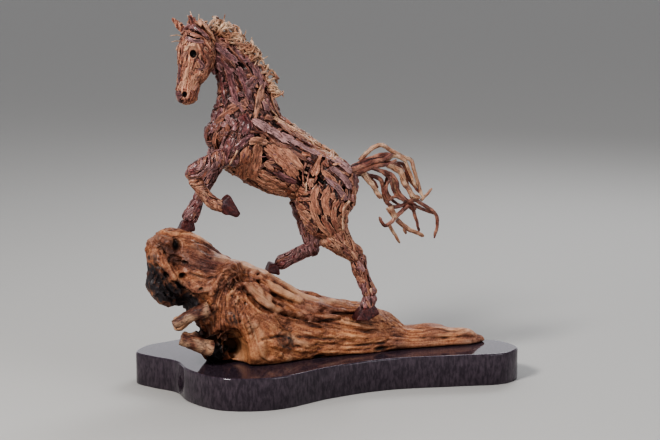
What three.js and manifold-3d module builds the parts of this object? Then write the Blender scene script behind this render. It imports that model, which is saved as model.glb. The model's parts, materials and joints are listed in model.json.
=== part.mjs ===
// A driftwood horse sculpture: a horse built up from weathered pieces of wood, climbing a tree root
// that lies on a polished black stone plinth. Millimetres, +Z up. The origin is the middle of the
// plinth's underside, +X runs along the plinth to the tail, and the viewer stands at -Y.
import * as THREE from "three";
import { mergeVertices } from "three/addons/utils/BufferGeometryUtils.js";
import Module from "manifold-3d";

const wasm = await Module();
wasm.setup();

// Driving dimensions
const GLUE_LINE = 0.3; // left between two pieces that meet
const PLINTH_LENGTH = 682;
const PLINTH_DEPTH = 362;
const PLINTH_THICKNESS = 57;
const PLINTH_EASE = 2.5; // eased top and bottom edges
const WORK_PLACE = [-2, 5, 0]; // where the horse's middle plane crosses the plinth
const WORK_YAW = THREE.MathUtils.degToRad(16); // the root and the horse stand askew on the plinth
const HEAD_TURN = THREE.MathUtils.degToRad(20); // the head looks a little to the horse's left
const HEAD_PIVOT = [-203, 0, 600];
const REACH = 120; // how far a saw cut goes, past anything that it divides

const ACROSS = new THREE.Vector3(0, 1, 0);

// Finishes
const wood = (color, roughness = 0.8) =>
  new THREE.MeshStandardMaterial({ color, roughness, metalness: 0 });
const BLACK_STONE = wood(0x17151a, 0.12);
const ROOT_WOOD = wood(0xa9764a);
const TAN_WOOD = wood(0xb07c4d);
const PALE_WOOD = wood(0xc79b68);
const UMBER_WOOD = wood(0x7a5038);
const PLUM_WOOD = wood(0x5c3a36);
const HOOF_WOOD = wood(0x4f2624, 0.5);

// Shaping

/** A closed geometry as a solid, with its faces turned outwards. */
function solidOf(geometry) {
  const bare = geometry.clone();
  bare.deleteAttribute("normal");
  bare.deleteAttribute("uv");
  const { attributes, index } = mergeVertices(bare, 1e-4);
  const vertProperties = attributes.position.array;
  const triVerts = new Uint32Array(index.array);
  const made = new wasm.Manifold(new wasm.Mesh({ numProp: 3, vertProperties, triVerts }));
  if (made.volume() > 0) return made;
  for (let i = 0; i < triVerts.length; i += 3)
    [triVerts[i + 1], triVerts[i + 2]] = [triVerts[i + 2], triVerts[i + 1]];
  return new wasm.Manifold(new wasm.Mesh({ numProp: 3, vertProperties, triVerts }));
}

/** A solid as a flat-shaded geometry. */
function geometryOf(solid) {
  const { numProp, numVert, vertProperties, triVerts } = solid.getMesh();
  const corners = new Float32Array(numVert * 3);
  for (let i = 0; i < numVert; i++)
    corners.set(vertProperties.subarray(i * numProp, i * numProp + 3), i * 3);
  const geometry = new THREE.BufferGeometry()
    .setAttribute("position", new THREE.BufferAttribute(corners, 3))
    .setIndex(new THREE.BufferAttribute(triVerts, 1))
    .toNonIndexed();
  geometry.computeVertexNormals();
  return geometry;
}

const join = (solids) => solids.reduce((whole, next) => whole.add(next));

/** The centre line and the half sizes through a list of stations [x, y, z, tall, wide = tall]. */
function spine(stations) {
  const line = new THREE.CatmullRomCurve3(
    stations.map(([x, y, z]) => new THREE.Vector3(x, y, z)),
    false,
    "centripetal",
  );
  const girth = new THREE.CatmullRomCurve3(
    stations.map(([, , , tall, wide = tall]) => new THREE.Vector3(tall, wide, 0)),
  );
  return { line, girth };
}

/**
 * A tapering body: oval sections strung along a smooth line, closed by rounded ends. `tall` is
 * measured in the horse's middle plane and `wide` across it. `grow` swells the body all round.
 */
function taper(stations, { sides = 8, steps = 1, grow = 0, turn } = {}) {
  const { line, girth } = spine(stations);
  const count = (stations.length - 1) * steps;
  const corners = [];
  const addRing = (t, push, share) => {
    const along = line.getTangent(t);
    const side = ACROSS.clone().addScaledVector(along, -ACROSS.dot(along)).normalize();
    const rise = side.clone().cross(along);
    const { x: tall, y: wide } = girth.getPoint(t);
    const centre = line.getPoint(t).addScaledVector(along, push * (Math.min(tall, wide) + grow));
    for (let i = 0; i < (share > 0 ? sides : 1); i++) {
      const angle = (i / sides) * 2 * Math.PI;
      const corner = centre
        .clone()
        .addScaledVector(rise, (tall + grow) * share * Math.cos(angle))
        .addScaledVector(side, (wide + grow) * share * Math.sin(angle));
      corners.push(...corner.toArray());
    }
  };
  addRing(0, -0.4, 0.7);
  for (let i = 0; i <= count; i++) addRing(i / count, 0, 1);
  addRing(1, 0.4, 0.7);
  addRing(0, -0.6, 0);
  addRing(1, 0.6, 0);

  const rings = count + 3;
  const tip = rings * sides;
  const index = [];
  for (let i = 0; i < sides; i++) {
    const next = (i + 1) % sides;
    for (let r = 0; r < rings - 1; r++) {
      const near = r * sides;
      const far = near + sides;
      index.push(near + i, near + next, far + i, near + next, far + next, far + i);
    }
    const last = (rings - 1) * sides;
    index.push(tip, next, i, tip + 1, last + i, last + next);
  }
  const geometry = new THREE.BufferGeometry()
    .setAttribute("position", new THREE.Float32BufferAttribute(corners, 3))
    .setIndex(index);
  if (turn) geometry.applyMatrix4(turn);
  return solidOf(geometry);
}

/** An egg-shaped solid around a centre, with half sizes along x, y and z. */
function egg([x, y, z], [a, b, c], tilt = 0) {
  const geometry = new THREE.SphereGeometry(1, 12, 8);
  geometry.scale(a, b, c);
  geometry.rotateY(tilt);
  geometry.translate(x, y, z);
  return solidOf(geometry);
}

/** A block between two corners. */
function block(low, high) {
  const size = high.map((value, i) => value - low[i]);
  const geometry = new THREE.BoxGeometry(...size);
  geometry.translate(...low.map((value, i) => value + size[i] / 2));
  return solidOf(geometry);
}

/** An outline [x, z] seen from the side, sawn straight through from y = near to y = far. */
function sawn(outline, near = -REACH, far = REACH) {
  const shape = new THREE.Shape(outline.map(([x, z]) => new THREE.Vector2(x, z)));
  const geometry = new THREE.ExtrudeGeometry(shape, { depth: far - near, bevelEnabled: false });
  geometry.rotateX(Math.PI / 2);
  geometry.translate(0, far, 0);
  return solidOf(geometry);
}

/**
 * The saw cut that takes one piece out of a body: from `from` to `to` along its spine, and from
 * `low` to `high` half heights off it, on one side of the middle plane or on both. Every cut of a
 * body runs through the same `marks`, wandering a little as split wood does, and stands half a glue
 * line back.
 */
function sawCut(stations, marks, { from, to, low, high, side = 0 }) {
  const { line, girth } = spine(stations);
  const length = line.getLength();
  const within = (value) => THREE.MathUtils.clamp(value, 0, 1);
  const place = (u, v) => {
    const t = within(u + 0.03 * v + 0.012 * Math.sin(9 * u + 5 * v));
    const along = line.getTangent(t);
    const beyond = (u < 0 ? u : Math.max(u - 1, 0)) * length;
    const rise = girth.getPoint(t).x * (v + 0.05 * Math.sin(14 * u + 2 * v));
    const centre = line.getPoint(t).addScaledVector(along, beyond);
    return [centre.x - along.z * rise, centre.z + along.x * rise];
  };
  const back = (0.6 * GLUE_LINE) / length;
  const down = (0.6 * GLUE_LINE) / girth.getPoint(within((from + to) / 2)).x;
  const inner = (list, a, b) => list.filter((mark) => mark > a && mark < b);
  const stops = [from + back, ...inner(marks.along, from, to), to - back];
  const levels = [low + down, ...inner(marks.off, low, high), high - down];
  const outline = [
    ...stops.slice(0, -1).map((u) => place(u, levels[0])),
    ...levels.slice(0, -1).map((v) => place(to - back, v)),
    ...stops.slice(1).reverse().map((u) => place(u, high - down)),
    ...levels.slice(1).reverse().map((v) => place(from + back, v)),
  ];
  const near = side > 0 ? GLUE_LINE / 2 : -REACH;
  const far = side < 0 ? -GLUE_LINE / 2 : REACH;
  return sawn(outline, near, far);
}

// Fitting: each piece is cut back from the pieces that were fitted before it.

const sculpture = new THREE.Group();
const work = new THREE.Group();
work.position.set(...WORK_PLACE);
work.rotation.z = WORK_YAW;
sculpture.add(work);
const fitted = [];

const fitTo = (solid) => fitted.reduce((left, other) => left.subtract(other), solid);

/** The one body that is left of a solid, without the crumbs of a cut. */
const mainBody = (solid) =>
  solid.decompose().reduce((most, next) => (next.volume() > most.volume() ? next : most));

function show(name, solid, material, group = work) {
  const mesh = new THREE.Mesh(geometryOf(mainBody(solid)), material);
  mesh.name = name;
  group.add(mesh);
}

/** One piece of wood. `make(grow)` gives its whole solid, swollen by `grow`. */
function fit(name, material, make) {
  show(name, fitTo(make(0)), material);
  fitted.push(make(GLUE_LINE));
}

/** A tapering piece of wood. */
const fitTaper = (name, material, stations, options) =>
  fit(name, material, (grow) => taper(stations, { ...options, grow }));

/** A body that is parted into several pieces of wood by saw cuts. */
function fitParted(stations, options, marks, pieces) {
  const whole = fitTo(taper(stations, options));
  for (const { name, material, ...cut } of pieces)
    show(name, whole.intersect(sawCut(stations, marks, cut)), material);
  fitted.push(taper(stations, { ...options, grow: GLUE_LINE }));
}

/** The same piece on the horse's left and right side. */
const bothSides = (name, material, cut) => [
  { name: `left_${name}`, material, ...cut, side: -1 },
  { name: `right_${name}`, material, ...cut, side: 1 },
];

// Shoulders and haunches, which the barrel is built up against

const LIMB = { sides: 10, steps: 2 };

function upperLimbs() {
  fitTaper(
    "left_shoulder",
    PLUM_WOOD,
    [
      [-128, -27, 478, 20, 13],
      [-146, -35, 458, 28, 18],
      [-165, -40, 436, 28, 18],
      [-181, -42, 418, 19, 14],
    ],
    LIMB,
  );
  fitTaper(
    "right_shoulder",
    PLUM_WOOD,
    [
      [-128, 27, 476, 20, 13],
      [-148, 34, 454, 28, 18],
      [-168, 38, 430, 27, 18],
      [-183, 38, 408, 19, 14],
    ],
    LIMB,
  );
  fitTaper(
    "left_haunch",
    TAN_WOOD,
    [
      [4, -28, 394, 30, 18],
      [-6, -36, 364, 47, 24],
      [-13, -39, 334, 50, 25],
      [-13, -41, 307, 39, 22],
      [-4, -41, 284, 30, 17],
    ],
    LIMB,
  );
  fitTaper(
    "right_haunch",
    PLUM_WOOD,
    [
      [4, 28, 388, 30, 18],
      [-8, 36, 358, 44, 24],
      [-16, 39, 325, 38, 23],
      [-20, 40, 296, 27, 18],
    ],
    LIMB,
  );
}

// Barrel, from the breast to the rump

const BARREL = [
  [-198, 0, 452, 24, 26],
  [-178, 0, 448, 46, 37],
  [-150, 0, 441, 58, 44],
  [-122, 0, 429, 62, 47],
  [-98, 0, 415, 61, 48],
  [-70, 0, 399, 57, 47],
  [-35, 0, 382, 50, 44],
  [-3, 0, 368, 44, 42],
  [24, 0, 359, 34, 36],
  [40, 0, 353, 22, 25],
];
const BREAST_CUT = 0.14; // shares of the barrel's length
const SHOULDER_CUT = 0.4;
const GIRTH_CUT = 0.5;
const RIB_CUT = 0.6;
const LOIN_CUT = 0.78;
const BACK_LINE = 0.56; // half heights above the spine; the belly line is as far below it
const CLEAR = 1.25; // half heights, or shares of the length, past the body
const BARREL_MARKS = {
  along: [0, BREAST_CUT, 0.27, SHOULDER_CUT, GIRTH_CUT, RIB_CUT, 0.69, LOIN_CUT, 1],
  off: [-1, -BACK_LINE, -0.28, 0, 0.28, BACK_LINE, 1],
};

function barrel() {
  const back = { low: BACK_LINE, high: CLEAR };
  const belly = { low: -CLEAR, high: -BACK_LINE };
  const flank = { low: -BACK_LINE, high: BACK_LINE };
  const breast = { from: 1 - CLEAR, to: BREAST_CUT, low: -CLEAR, high: CLEAR };
  const shoulder = { from: BREAST_CUT, to: SHOULDER_CUT };
  const ribs = { from: SHOULDER_CUT, to: RIB_CUT };
  const rump = { from: LOIN_CUT, to: CLEAR };
  fitParted(BARREL, { sides: 14 }, BARREL_MARKS, [
    { name: "breast_burl", material: PLUM_WOOD, ...breast },
    { name: "withers_ridge", material: UMBER_WOOD, ...shoulder, ...back },
    { name: "saddle_slab", material: PALE_WOOD, from: SHOULDER_CUT, to: LOIN_CUT, ...back },
    { name: "croup_burl", material: PLUM_WOOD, ...rump, low: 0, high: CLEAR },
    { name: "rump_block", material: UMBER_WOOD, ...rump, low: -CLEAR, high: 0 },
    { name: "girth_slab", material: TAN_WOOD, from: BREAST_CUT, to: GIRTH_CUT, ...belly },
    { name: "belly_slab", material: TAN_WOOD, from: GIRTH_CUT, to: LOIN_CUT, ...belly },
    ...bothSides("elbow_slab", UMBER_WOOD, { ...shoulder, ...flank }),
    ...bothSides("upper_rib_slab", UMBER_WOOD, { ...ribs, low: 0, high: BACK_LINE }),
    ...bothSides("lower_rib_slab", TAN_WOOD, { ...ribs, low: -BACK_LINE, high: 0 }),
    ...bothSides("flank_slab", TAN_WOOD, { from: RIB_CUT, to: LOIN_CUT, ...flank }),
  ]);
}

// Head and neck. The head is one burl, turned a little to the horse's left.

const HEAD = [
  [-225, 0, 637, 14, 15],
  [-227, 0, 620, 29, 21],
  [-231, 0, 598, 34, 25],
  [-233, 0, 577, 34, 22],
  [-241, 0, 558, 26, 17],
  [-248, 0, 544, 20, 15],
  [-251, 0, 528, 19, 15],
  [-252, 0, 516, 17, 14],
];
const NECK = [
  [-143, 0, 476, 60, 36],
  [-145, 0, 508, 48, 31],
  [-148, 0, 534, 42, 27],
  [-156, 0, 554, 36, 24],
  [-168, 0, 572, 31, 21],
  [-181, 0, 588, 28, 19],
  [-195, 0, 602, 24, 17],
  [-206, 0, 613, 19, 14],
];

function headAndNeck() {
  const turn = new THREE.Matrix4()
    .makeTranslation(...HEAD_PIVOT)
    .multiply(new THREE.Matrix4().makeRotationZ(HEAD_TURN))
    .multiply(new THREE.Matrix4().makeTranslation(...HEAD_PIVOT.map((value) => -value)));
  fitTaper("head_burl", TAN_WOOD, HEAD, { sides: 12, turn });

  const throatLine = 0.42; // half heights in front of the neck's spine
  const crestLine = -0.48;
  const middle = 0.5;
  const marks = { along: [0, 0.25, middle, 0.75, 1], off: [-1, crestLine, 0, throatLine, 1] };
  const whole = { from: 1 - CLEAR, to: CLEAR };
  const onSide = { low: crestLine, high: throatLine };
  fitParted(NECK, { sides: 12 }, marks, [
    { name: "throat_root", material: PLUM_WOOD, ...whole, low: throatLine, high: CLEAR },
    { name: "crest_root", material: UMBER_WOOD, ...whole, low: -CLEAR, high: crestLine },
    ...bothSides("neck_root", PALE_WOOD, { from: 1 - CLEAR, to: middle, ...onSide }),
    ...bothSides("poll_root", PLUM_WOOD, { from: middle, to: CLEAR, ...onSide }),
  ]);

  fitTaper("left_ear", UMBER_WOOD, [
    [-228, -13, 624, 9, 6],
    [-236, -17, 641, 8, 5],
    [-243, -20, 655, 3, 2.5],
  ]);
  fitTaper("right_ear", TAN_WOOD, [
    [-245, 10, 627, 7, 5],
    [-255, 15, 638, 6, 4],
    [-264, 20, 648, 2.5],
  ]);
}

// Lower limbs

/**
 * A hoof: an outline [x, z] seen from the side, rounded from the front by a cone that widens from
 * the coronet to the sole.
 */
function fitHoof(name, outline, { y, from, to, coronet, sole }) {
  const cone = [
    [from[0], y, from[1], REACH, coronet],
    [to[0], y, to[1], REACH, sole],
  ];
  const middle = [(from[0] + to[0]) / 2, (from[1] + to[1]) / 2];
  fit(name, HOOF_WOOD, (grow) => {
    const swollen = outline.map(([x, z]) => {
      const away = new THREE.Vector2(x - middle[0], z - middle[1]);
      away.setLength(away.length() + 1.6 * grow);
      return [middle[0] + away.x, middle[1] + away.y];
    });
    return sawn(swollen).intersect(taper(cone, { sides: 12, grow }));
  });
}

function leftForeleg() {
  fitTaper("left_forearm", PLUM_WOOD, [
    [-188, -42, 420, 14, 11],
    [-208, -42, 413, 12, 10],
    [-229, -41, 406, 10, 9],
    [-244, -40, 396, 10.5, 9.5],
    [-247, -40, 388, 10, 9],
  ]);
  fitTaper("left_fore_cannon", TAN_WOOD, [
    [-243, -39, 382, 9, 8.5],
    [-234, -39, 368, 8, 7.5],
    [-223, -38, 352, 7.5, 7],
    [-214, -38, 342, 9, 8.5],
    [-203, -38, 336, 7.5, 7],
    [-192, -38, 334, 8, 7.5],
  ]);
  const outline = [
    [-198, 340],
    [-184, 350],
    [-164, 316],
    [-193, 323],
  ];
  fitHoof("left_fore_hoof", outline, {
    y: -38,
    from: [-192, 338],
    to: [-172, 325],
    coronet: 9,
    sole: 11,
  });
}

function rightForeleg() {
  fitTaper("right_forearm", PLUM_WOOD, [
    [-188, 38, 399, 15, 12],
    [-199, 38, 380, 13, 11],
    [-209, 38, 358, 10, 9],
    [-220, 37, 336, 9, 8.5],
  ]);
  fitTaper("right_fore_cannon", PLUM_WOOD, [
    [-222, 37, 331, 9, 8.5],
    [-231, 37, 314, 11, 10],
    [-238, 36, 302, 11, 9.5],
  ]);
  const outline = [
    [-249, 299],
    [-231, 297],
    [-229, 281],
    [-260, 279],
  ];
  fitHoof("right_fore_hoof", outline, {
    y: 36,
    from: [-240, 300],
    to: [-245, 280],
    coronet: 10,
    sole: 13,
  });
}

function leftHindLeg() {
  fitTaper("left_gaskin", TAN_WOOD, [
    [-1, -41, 278, 27, 16],
    [14, -41, 259, 19, 13],
    [31, -40, 245, 14, 11],
    [43, -39, 236, 14, 10],
  ]);
  fitTaper("left_hind_cannon", UMBER_WOOD, [
    [46, -38, 231, 13, 10],
    [50, -38, 209, 11, 9],
    [59, -38, 187, 9.5, 8],
    [68, -38, 168, 12, 9.5],
  ]);
  fitTaper("left_hind_pastern", PLUM_WOOD, [
    [69, -38, 160, 11, 9],
    [65, -38, 151, 10, 9],
    [63, -38, 143, 12, 10],
  ]);
  const outline = [
    [51, 140],
    [75, 145],
    [82, 131],
    [62, 121],
    [38, 122],
  ];
  fitHoof("left_hind_hoof", outline, {
    y: -38,
    from: [64, 146],
    to: [58, 120],
    coronet: 12,
    sole: 16,
  });
}

function rightHindLeg() {
  fitTaper("right_gaskin", PLUM_WOOD, [
    [-20, 40, 289, 23, 15],
    [-19, 39, 270, 17, 13],
    [-17, 38, 254, 14, 11],
    [-12, 37, 244, 13, 10],
  ]);
  fitTaper("right_hind_cannon", PLUM_WOOD, [
    [-12, 37, 238, 12, 10],
    [-34, 36, 232, 10, 9],
    [-58, 35, 222, 10, 8.5],
    [-76, 35, 214, 11, 9],
  ]);
  const outline = [
    [-95, 217],
    [-101, 201],
    [-79, 195],
    [-80, 212],
  ];
  fitHoof("right_hind_hoof", outline, {
    y: 35,
    from: [-86, 218],
    to: [-92, 198],
    coronet: 9,
    sole: 12,
  });
}

// Tail: roots that spring from the dock and tangle
const TAIL_ROOTS = {
  tail_dock: [
    [44, -2, 380, 9],
    [64, -2, 389, 8],
    [83, -2, 396, 6.5],
    [103, -2, 399, 5.5],
    [113, -2, 404, 3.5],
  ],
  tail_crown_root: [
    [60, 5, 396, 3],
    [75, 6, 411, 2.8],
    [87, 6, 420, 2.8],
    [101, 6, 423, 3.2],
    [119, 5, 411, 3],
    [142, 3, 400, 3.2],
    [155, 2, 393, 3.4],
    [162, 1, 376, 3],
    [172, 0, 340, 2.8],
    [180, 0, 324, 3],
  ],
  tail_inner_root: [
    [86, 10, 392, 2.6],
    [107, 10, 390, 2.6],
    [134, 8, 390, 2.6],
    [144, 6, 380, 2.6],
    [151, 4, 362, 2.6],
    [168, 3, 336, 2.6],
  ],
  tail_pale_root: [
    [106, -7, 391, 4],
    [123, -9, 381, 4.5],
    [136, -9, 373, 4.5],
    [143, -8, 353, 4],
    [153, -7, 341, 4],
    [160, -6, 329, 4],
    [172, -5, 325, 3],
  ],
  tail_long_root: [
    [62, -9, 376, 3.5],
    [79, -13, 382, 3],
    [101, -15, 376, 3],
    [120, -15, 368, 3],
    [129, -15, 356, 3],
    [131, -15, 341, 3],
    [140, -14, 328, 3],
    [154, -11, 318, 3],
    [163, -8, 313, 3],
  ],
  tail_under_root: [
    [58, -4, 369, 4],
    [75, -6, 357, 4.5],
    [88, -7, 343, 4.5],
    [99, -8, 327, 3.5],
  ],
  tail_hooked_root: [
    [56, 4, 373, 4],
    [83, 5, 368, 4],
    [97, 6, 364, 4],
    [104, 6, 350, 4],
    [105, 5, 332, 3],
    [113, 4, 317, 3],
    [126, 2, 311, 3],
    [141, 0, 312, 3],
    [152, -3, 318, 3.5],
  ],
  tail_end_root: [
    [164, -3, 318, 4],
    [176, 0, 314, 3.2],
    [188, 2, 306, 3],
    [199, 4, 298, 2.8],
    [205, 5, 289, 2.6],
    [205, 5, 273, 2.6],
    [199, 5, 252, 2],
  ],
  tail_curl_root: [
    [155, -4, 308, 5],
    [139, -6, 303, 3.5],
    [128, -8, 293, 3.5],
    [115, -9, 281, 3],
    [107, -9, 279, 2.8],
    [97, -9, 292, 1.8],
  ],
  tail_low_root: [
    [129, -2, 288, 2.8],
    [143, 0, 276, 3.4],
    [154, 2, 268, 3.4],
    [169, 3, 262, 3],
    [181, 4, 256, 2],
  ],
  tail_spur_root: [
    [158, 0, 305, 2.8],
    [163, 2, 295, 2.6],
    [167, 2, 280, 2.4],
    [171, 2, 268, 2],
  ],
};

function tail() {
  for (const [name, stations] of Object.entries(TAIL_ROOTS)) {
    const material = name.includes("pale") || name.includes("crown") ? PALE_WOOD : UMBER_WOOD;
    fitTaper(name, material, stations, { sides: name === "tail_dock" ? 8 : 6 });
  }
}

// Mane: tufts of matted rootlets along the crest, and one loose lock at its end
const MANE_TUFTS = {
  mane_poll_tuft: [
    [-226, -5, 642, 6, 8],
    [-210, -4, 644, 9, 12],
    [-190, -3, 640, 11, 13],
  ],
  mane_upper_tuft: [
    [-180, -3, 636, 11, 13],
    [-163, -3, 622, 12, 14],
    [-148, -3, 607, 12, 13],
  ],
  mane_middle_tuft: [
    [-141, -3, 600, 12, 13],
    [-128, -3, 585, 12, 13],
    [-117, -3, 568, 11, 12],
  ],
  mane_lower_tuft: [
    [-113, -3, 561, 10, 11],
    [-104, -2, 546, 9, 10],
    [-98, -2, 530, 7, 8],
  ],
  mane_lock: [
    [-100, -6, 522, 5, 5],
    [-90, -7, 517, 3.4],
    [-79, -8, 513, 2.4],
  ],
};

function mane() {
  for (const [name, stations] of Object.entries(MANE_TUFTS))
    fitTaper(name, PALE_WOOD, stations);
}

// Root: one old stump with a lobed head, a long tapering trunk and two broken stubs
const ROOT_LIMBS = {
  trunk: [
    [-268, 8, 240, 50, 44],
    [-226, 8, 203, 55, 58],
    [-183, 6, 167, 70, 68],
    [-136, 6, 134, 80, 68],
    [-62, 8, 99, 71, 62],
    [15, 10, 87, 66, 56],
    [73, 12, 80, 59, 54],
    [108, 12, 66, 49, 48],
    [145, 6, 52, 42, 38],
    [213, 4, 50, 43, 34],
    [268, -4, 48, 31, 27],
    [292, -4, 54, 16, 13],
  ],
  lobe: [
    [-302, -4, 268, 24, 30],
    [-291, -4, 238, 30, 38],
    [-287, -2, 200, 34, 38],
    [-268, 0, 176, 30, 32],
  ],
  shelf: [
    [-292, 20, 260, 30, 24],
    [-256, 28, 256, 26, 26],
    [-222, 32, 236, 26, 24],
  ],
  base: [
    [-176, -10, 84, 44, 52],
    [-140, -18, 84, 46, 62],
    [-90, -8, 78, 44, 57],
    [-20, 0, 74, 40, 46],
    [60, 4, 70, 38, 44],
  ],
  buttress: [
    [-196, -26, 214, 34, 28],
    [-170, -40, 168, 40, 28],
    [-146, -50, 120, 48, 26],
    [-132, -50, 78, 54, 24],
  ],
  left_foot: [
    [-194, -24, 190, 26, 26],
    [-199, -32, 140, 20, 24],
    [-201, -32, 100, 17, 24],
    [-204, -30, 66, 18, 26],
  ],
  upper_stub: [
    [-205, -4, 158, 15, 14],
    [-238, -8, 144, 11, 12],
    [-271, -10, 126, 9, 10],
  ],
  lower_stub: [
    [-261, -8, 97, 12, 12],
    [-238, -8, 98, 13, 14],
    [-218, -8, 88, 18, 18],
    [-204, -10, 72, 22, 22],
  ],
};

function root() {
  const options = { sides: 10, steps: 2 };
  const timber = join(Object.values(ROOT_LIMBS).map((stations) => taper(stations, options)));
  const hollows = [
    egg([-176, -66, 84], [18, 40, 44], THREE.MathUtils.degToRad(-14)), // arch at the foot
    egg([-268, -38, 264], [9, 18, 12]), // knot hole in the lobe
    egg([-172, -70, 206], [20, 14, 15]), // broken knot on the buttress
  ];
  const below = block([-500, -300, -100], [500, 300, PLINTH_THICKNESS + GLUE_LINE]);
  const shaped = [...hollows, below, ...fitted].reduce((left, next) => left.subtract(next), timber);
  show("root_base", shaped, ROOT_WOOD);
}

// Plinth: one slab with a free outline that bulges at the front left and narrows to the right
const PLINTH_OUTLINE = [
  [-339, 3],
  [-311, -25],
  [-263, -60],
  [-238, -116],
  [-190, -166],
  [-144, -178],
  [-80, -165],
  [6, -97],
  [107, -43],
  [235, -18],
  [318, 0],
  [343, 40],
  [316, 87],
  [262, 104],
  [190, 134],
  [80, 172],
  [-60, 184],
  [-190, 148],
  [-290, 84],
  [-328, 50],
];

function plinth() {
  const edge = new THREE.CatmullRomCurve3(
    PLINTH_OUTLINE.map(([x, y]) => new THREE.Vector3(x, y, 0)),
    true,
    "centripetal",
  ).getPoints(64);
  edge.pop();
  const box = new THREE.Box3().setFromPoints(edge);
  const size = box.getSize(new THREE.Vector3());
  const middle = box.getCenter(new THREE.Vector3());
  const along = (PLINTH_LENGTH - 2 * PLINTH_EASE) / size.x;
  const deep = (PLINTH_DEPTH - 2 * PLINTH_EASE) / size.y;
  const outline = edge.map(
    (p) => new THREE.Vector2((p.x - middle.x) * along, (p.y - middle.y) * deep),
  );
  const geometry = new THREE.ExtrudeGeometry(new THREE.Shape(outline), {
    depth: PLINTH_THICKNESS - 2 * PLINTH_EASE,
    bevelThickness: PLINTH_EASE,
    bevelSize: PLINTH_EASE,
    bevelSegments: 1,
  });
  geometry.translate(0, 0, PLINTH_EASE);
  show("plinth", solidOf(geometry), BLACK_STONE, sculpture);
}

plinth();
upperLimbs();
barrel();
headAndNeck();
leftForeleg();
rightForeleg();
leftHindLeg();
rightHindLeg();
root();
tail();
mane();

export default sculpture;
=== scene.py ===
"""A horse built up from driftwood, climbing a weathered root on a polished black stone plinth.

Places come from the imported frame, in metres, +Z up. The wood is worked in bench millimetres: the
horse's own frame, +X from its head to its tail, +Y away from the viewer, +Z up. The bench is turned
on the plinth by YAW, as the root and the horse stand on it.
"""

from __future__ import annotations

import json
import logging
import math
from dataclasses import dataclass, field
from enum import Enum
from itertools import product
from typing import Iterable, Sequence

import bmesh
import bpy
import numpy as np
from mathutils import Matrix, Vector
from mathutils.bvhtree import BVHTree


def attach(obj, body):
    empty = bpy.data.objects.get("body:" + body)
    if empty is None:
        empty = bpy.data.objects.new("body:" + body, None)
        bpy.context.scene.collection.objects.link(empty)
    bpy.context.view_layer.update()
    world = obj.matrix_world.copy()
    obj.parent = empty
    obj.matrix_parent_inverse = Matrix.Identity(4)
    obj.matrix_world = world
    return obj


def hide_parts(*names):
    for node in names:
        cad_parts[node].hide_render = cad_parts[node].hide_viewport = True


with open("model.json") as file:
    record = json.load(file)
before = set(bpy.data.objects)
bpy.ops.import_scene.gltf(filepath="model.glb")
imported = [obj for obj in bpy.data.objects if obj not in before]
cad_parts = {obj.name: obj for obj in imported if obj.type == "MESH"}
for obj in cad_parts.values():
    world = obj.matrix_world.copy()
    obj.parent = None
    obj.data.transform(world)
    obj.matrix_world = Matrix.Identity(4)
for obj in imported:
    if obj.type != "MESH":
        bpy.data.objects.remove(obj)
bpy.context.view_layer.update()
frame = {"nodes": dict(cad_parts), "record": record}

LOG = logging.getLogger("driftwood_horse")
MM = 0.001
YAW = math.radians(16)
PLACE = np.array((-2.0, 5.0, 0.0))  # the bench's origin on the plinth, in millimetres
HEAD_PIVOT = np.array((-203.0, 0.0, 600.0))
HEAD_TURN = math.radians(20)
PLINTH_TOP = 57.0
NEAR_SIDE = -40.0  # the bench plane of what the photograph shows
FAR_SIDE = 40.0
FINE = 1e-9  # keeps a division from zero
Pixel = tuple[float, float]
Array = np.ndarray
Socket = bpy.types.NodeSocket


class Slot(Enum):
    """The record's material slots. Each one is a finish."""

    STONE = "plinth_stone"
    ROOT = "root_wood"
    TAN = "tan_wood"
    PALE = "pale_wood"
    UMBER = "umber_wood"
    PLUM = "plum_wood"
    HOOF = "hoof_wood"


# fibre and tone are the wood's own colour; low is painted shade in cracks, hollows and gaps;
# char_and_shade is scorching, with painted shade under the root and in its arch; pale is bleaching, with
# painted highlights
MARKS = ("fibre", "tone", "char_and_shade", "low", "pale")  # what a finish reads on each point


class Grain(Enum):
    """Where a finish finds the run of its fibres."""

    COMBED = "combed"  # a value on each point, combed along the wood's flow
    STRAIGHT = "straight"  # a place in millimetres along and across one flake or rootlet


def read_rows(table: str) -> tuple:
    """Read a table of traced routes.

    Args:
        table: A line for each row: a slot's name or none, its sizes, then its route as x,y in pixels.

    Returns:
        A tuple for each row, with its route as the last entry. A row with only a route is the route.
    """
    rows = []
    for line in table.strip().splitlines():
        words = line.split()
        route = tuple(tuple(float(n) for n in word.split(",")) for word in words if "," in word)
        sizes = [word for word in words if "," not in word]
        row = [Slot[word.upper()] if word.isalpha() else float(word) for word in sizes]
        rows.append((*row, route) if row else route)
    return tuple(rows)


def turned(places: Array, angle: float) -> Array:
    """Turn places about +Z.

    Args:
        places: Rows of x, y, z.
        angle: The turn, in radians.

    Returns:
        The turned rows.
    """
    x, y = places[..., 0], places[..., 1]
    c, s = math.cos(angle), math.sin(angle)
    return np.stack((c * x - s * y, s * x + c * y, places[..., 2]), axis=-1)


def to_bench(world: Array) -> Array:
    """Object metres to bench millimetres."""
    return turned(np.asarray(world, dtype=float) / MM - PLACE, -YAW)


def to_world(bench: Array) -> Array:
    """Bench millimetres to object metres."""
    return (turned(np.asarray(bench, dtype=float), YAW) + PLACE) * MM


def unit(vector: Array) -> Array:
    """A vector, or rows of them, at length one."""
    return vector / np.maximum(np.linalg.norm(vector, axis=-1, keepdims=True), FINE)


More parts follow.
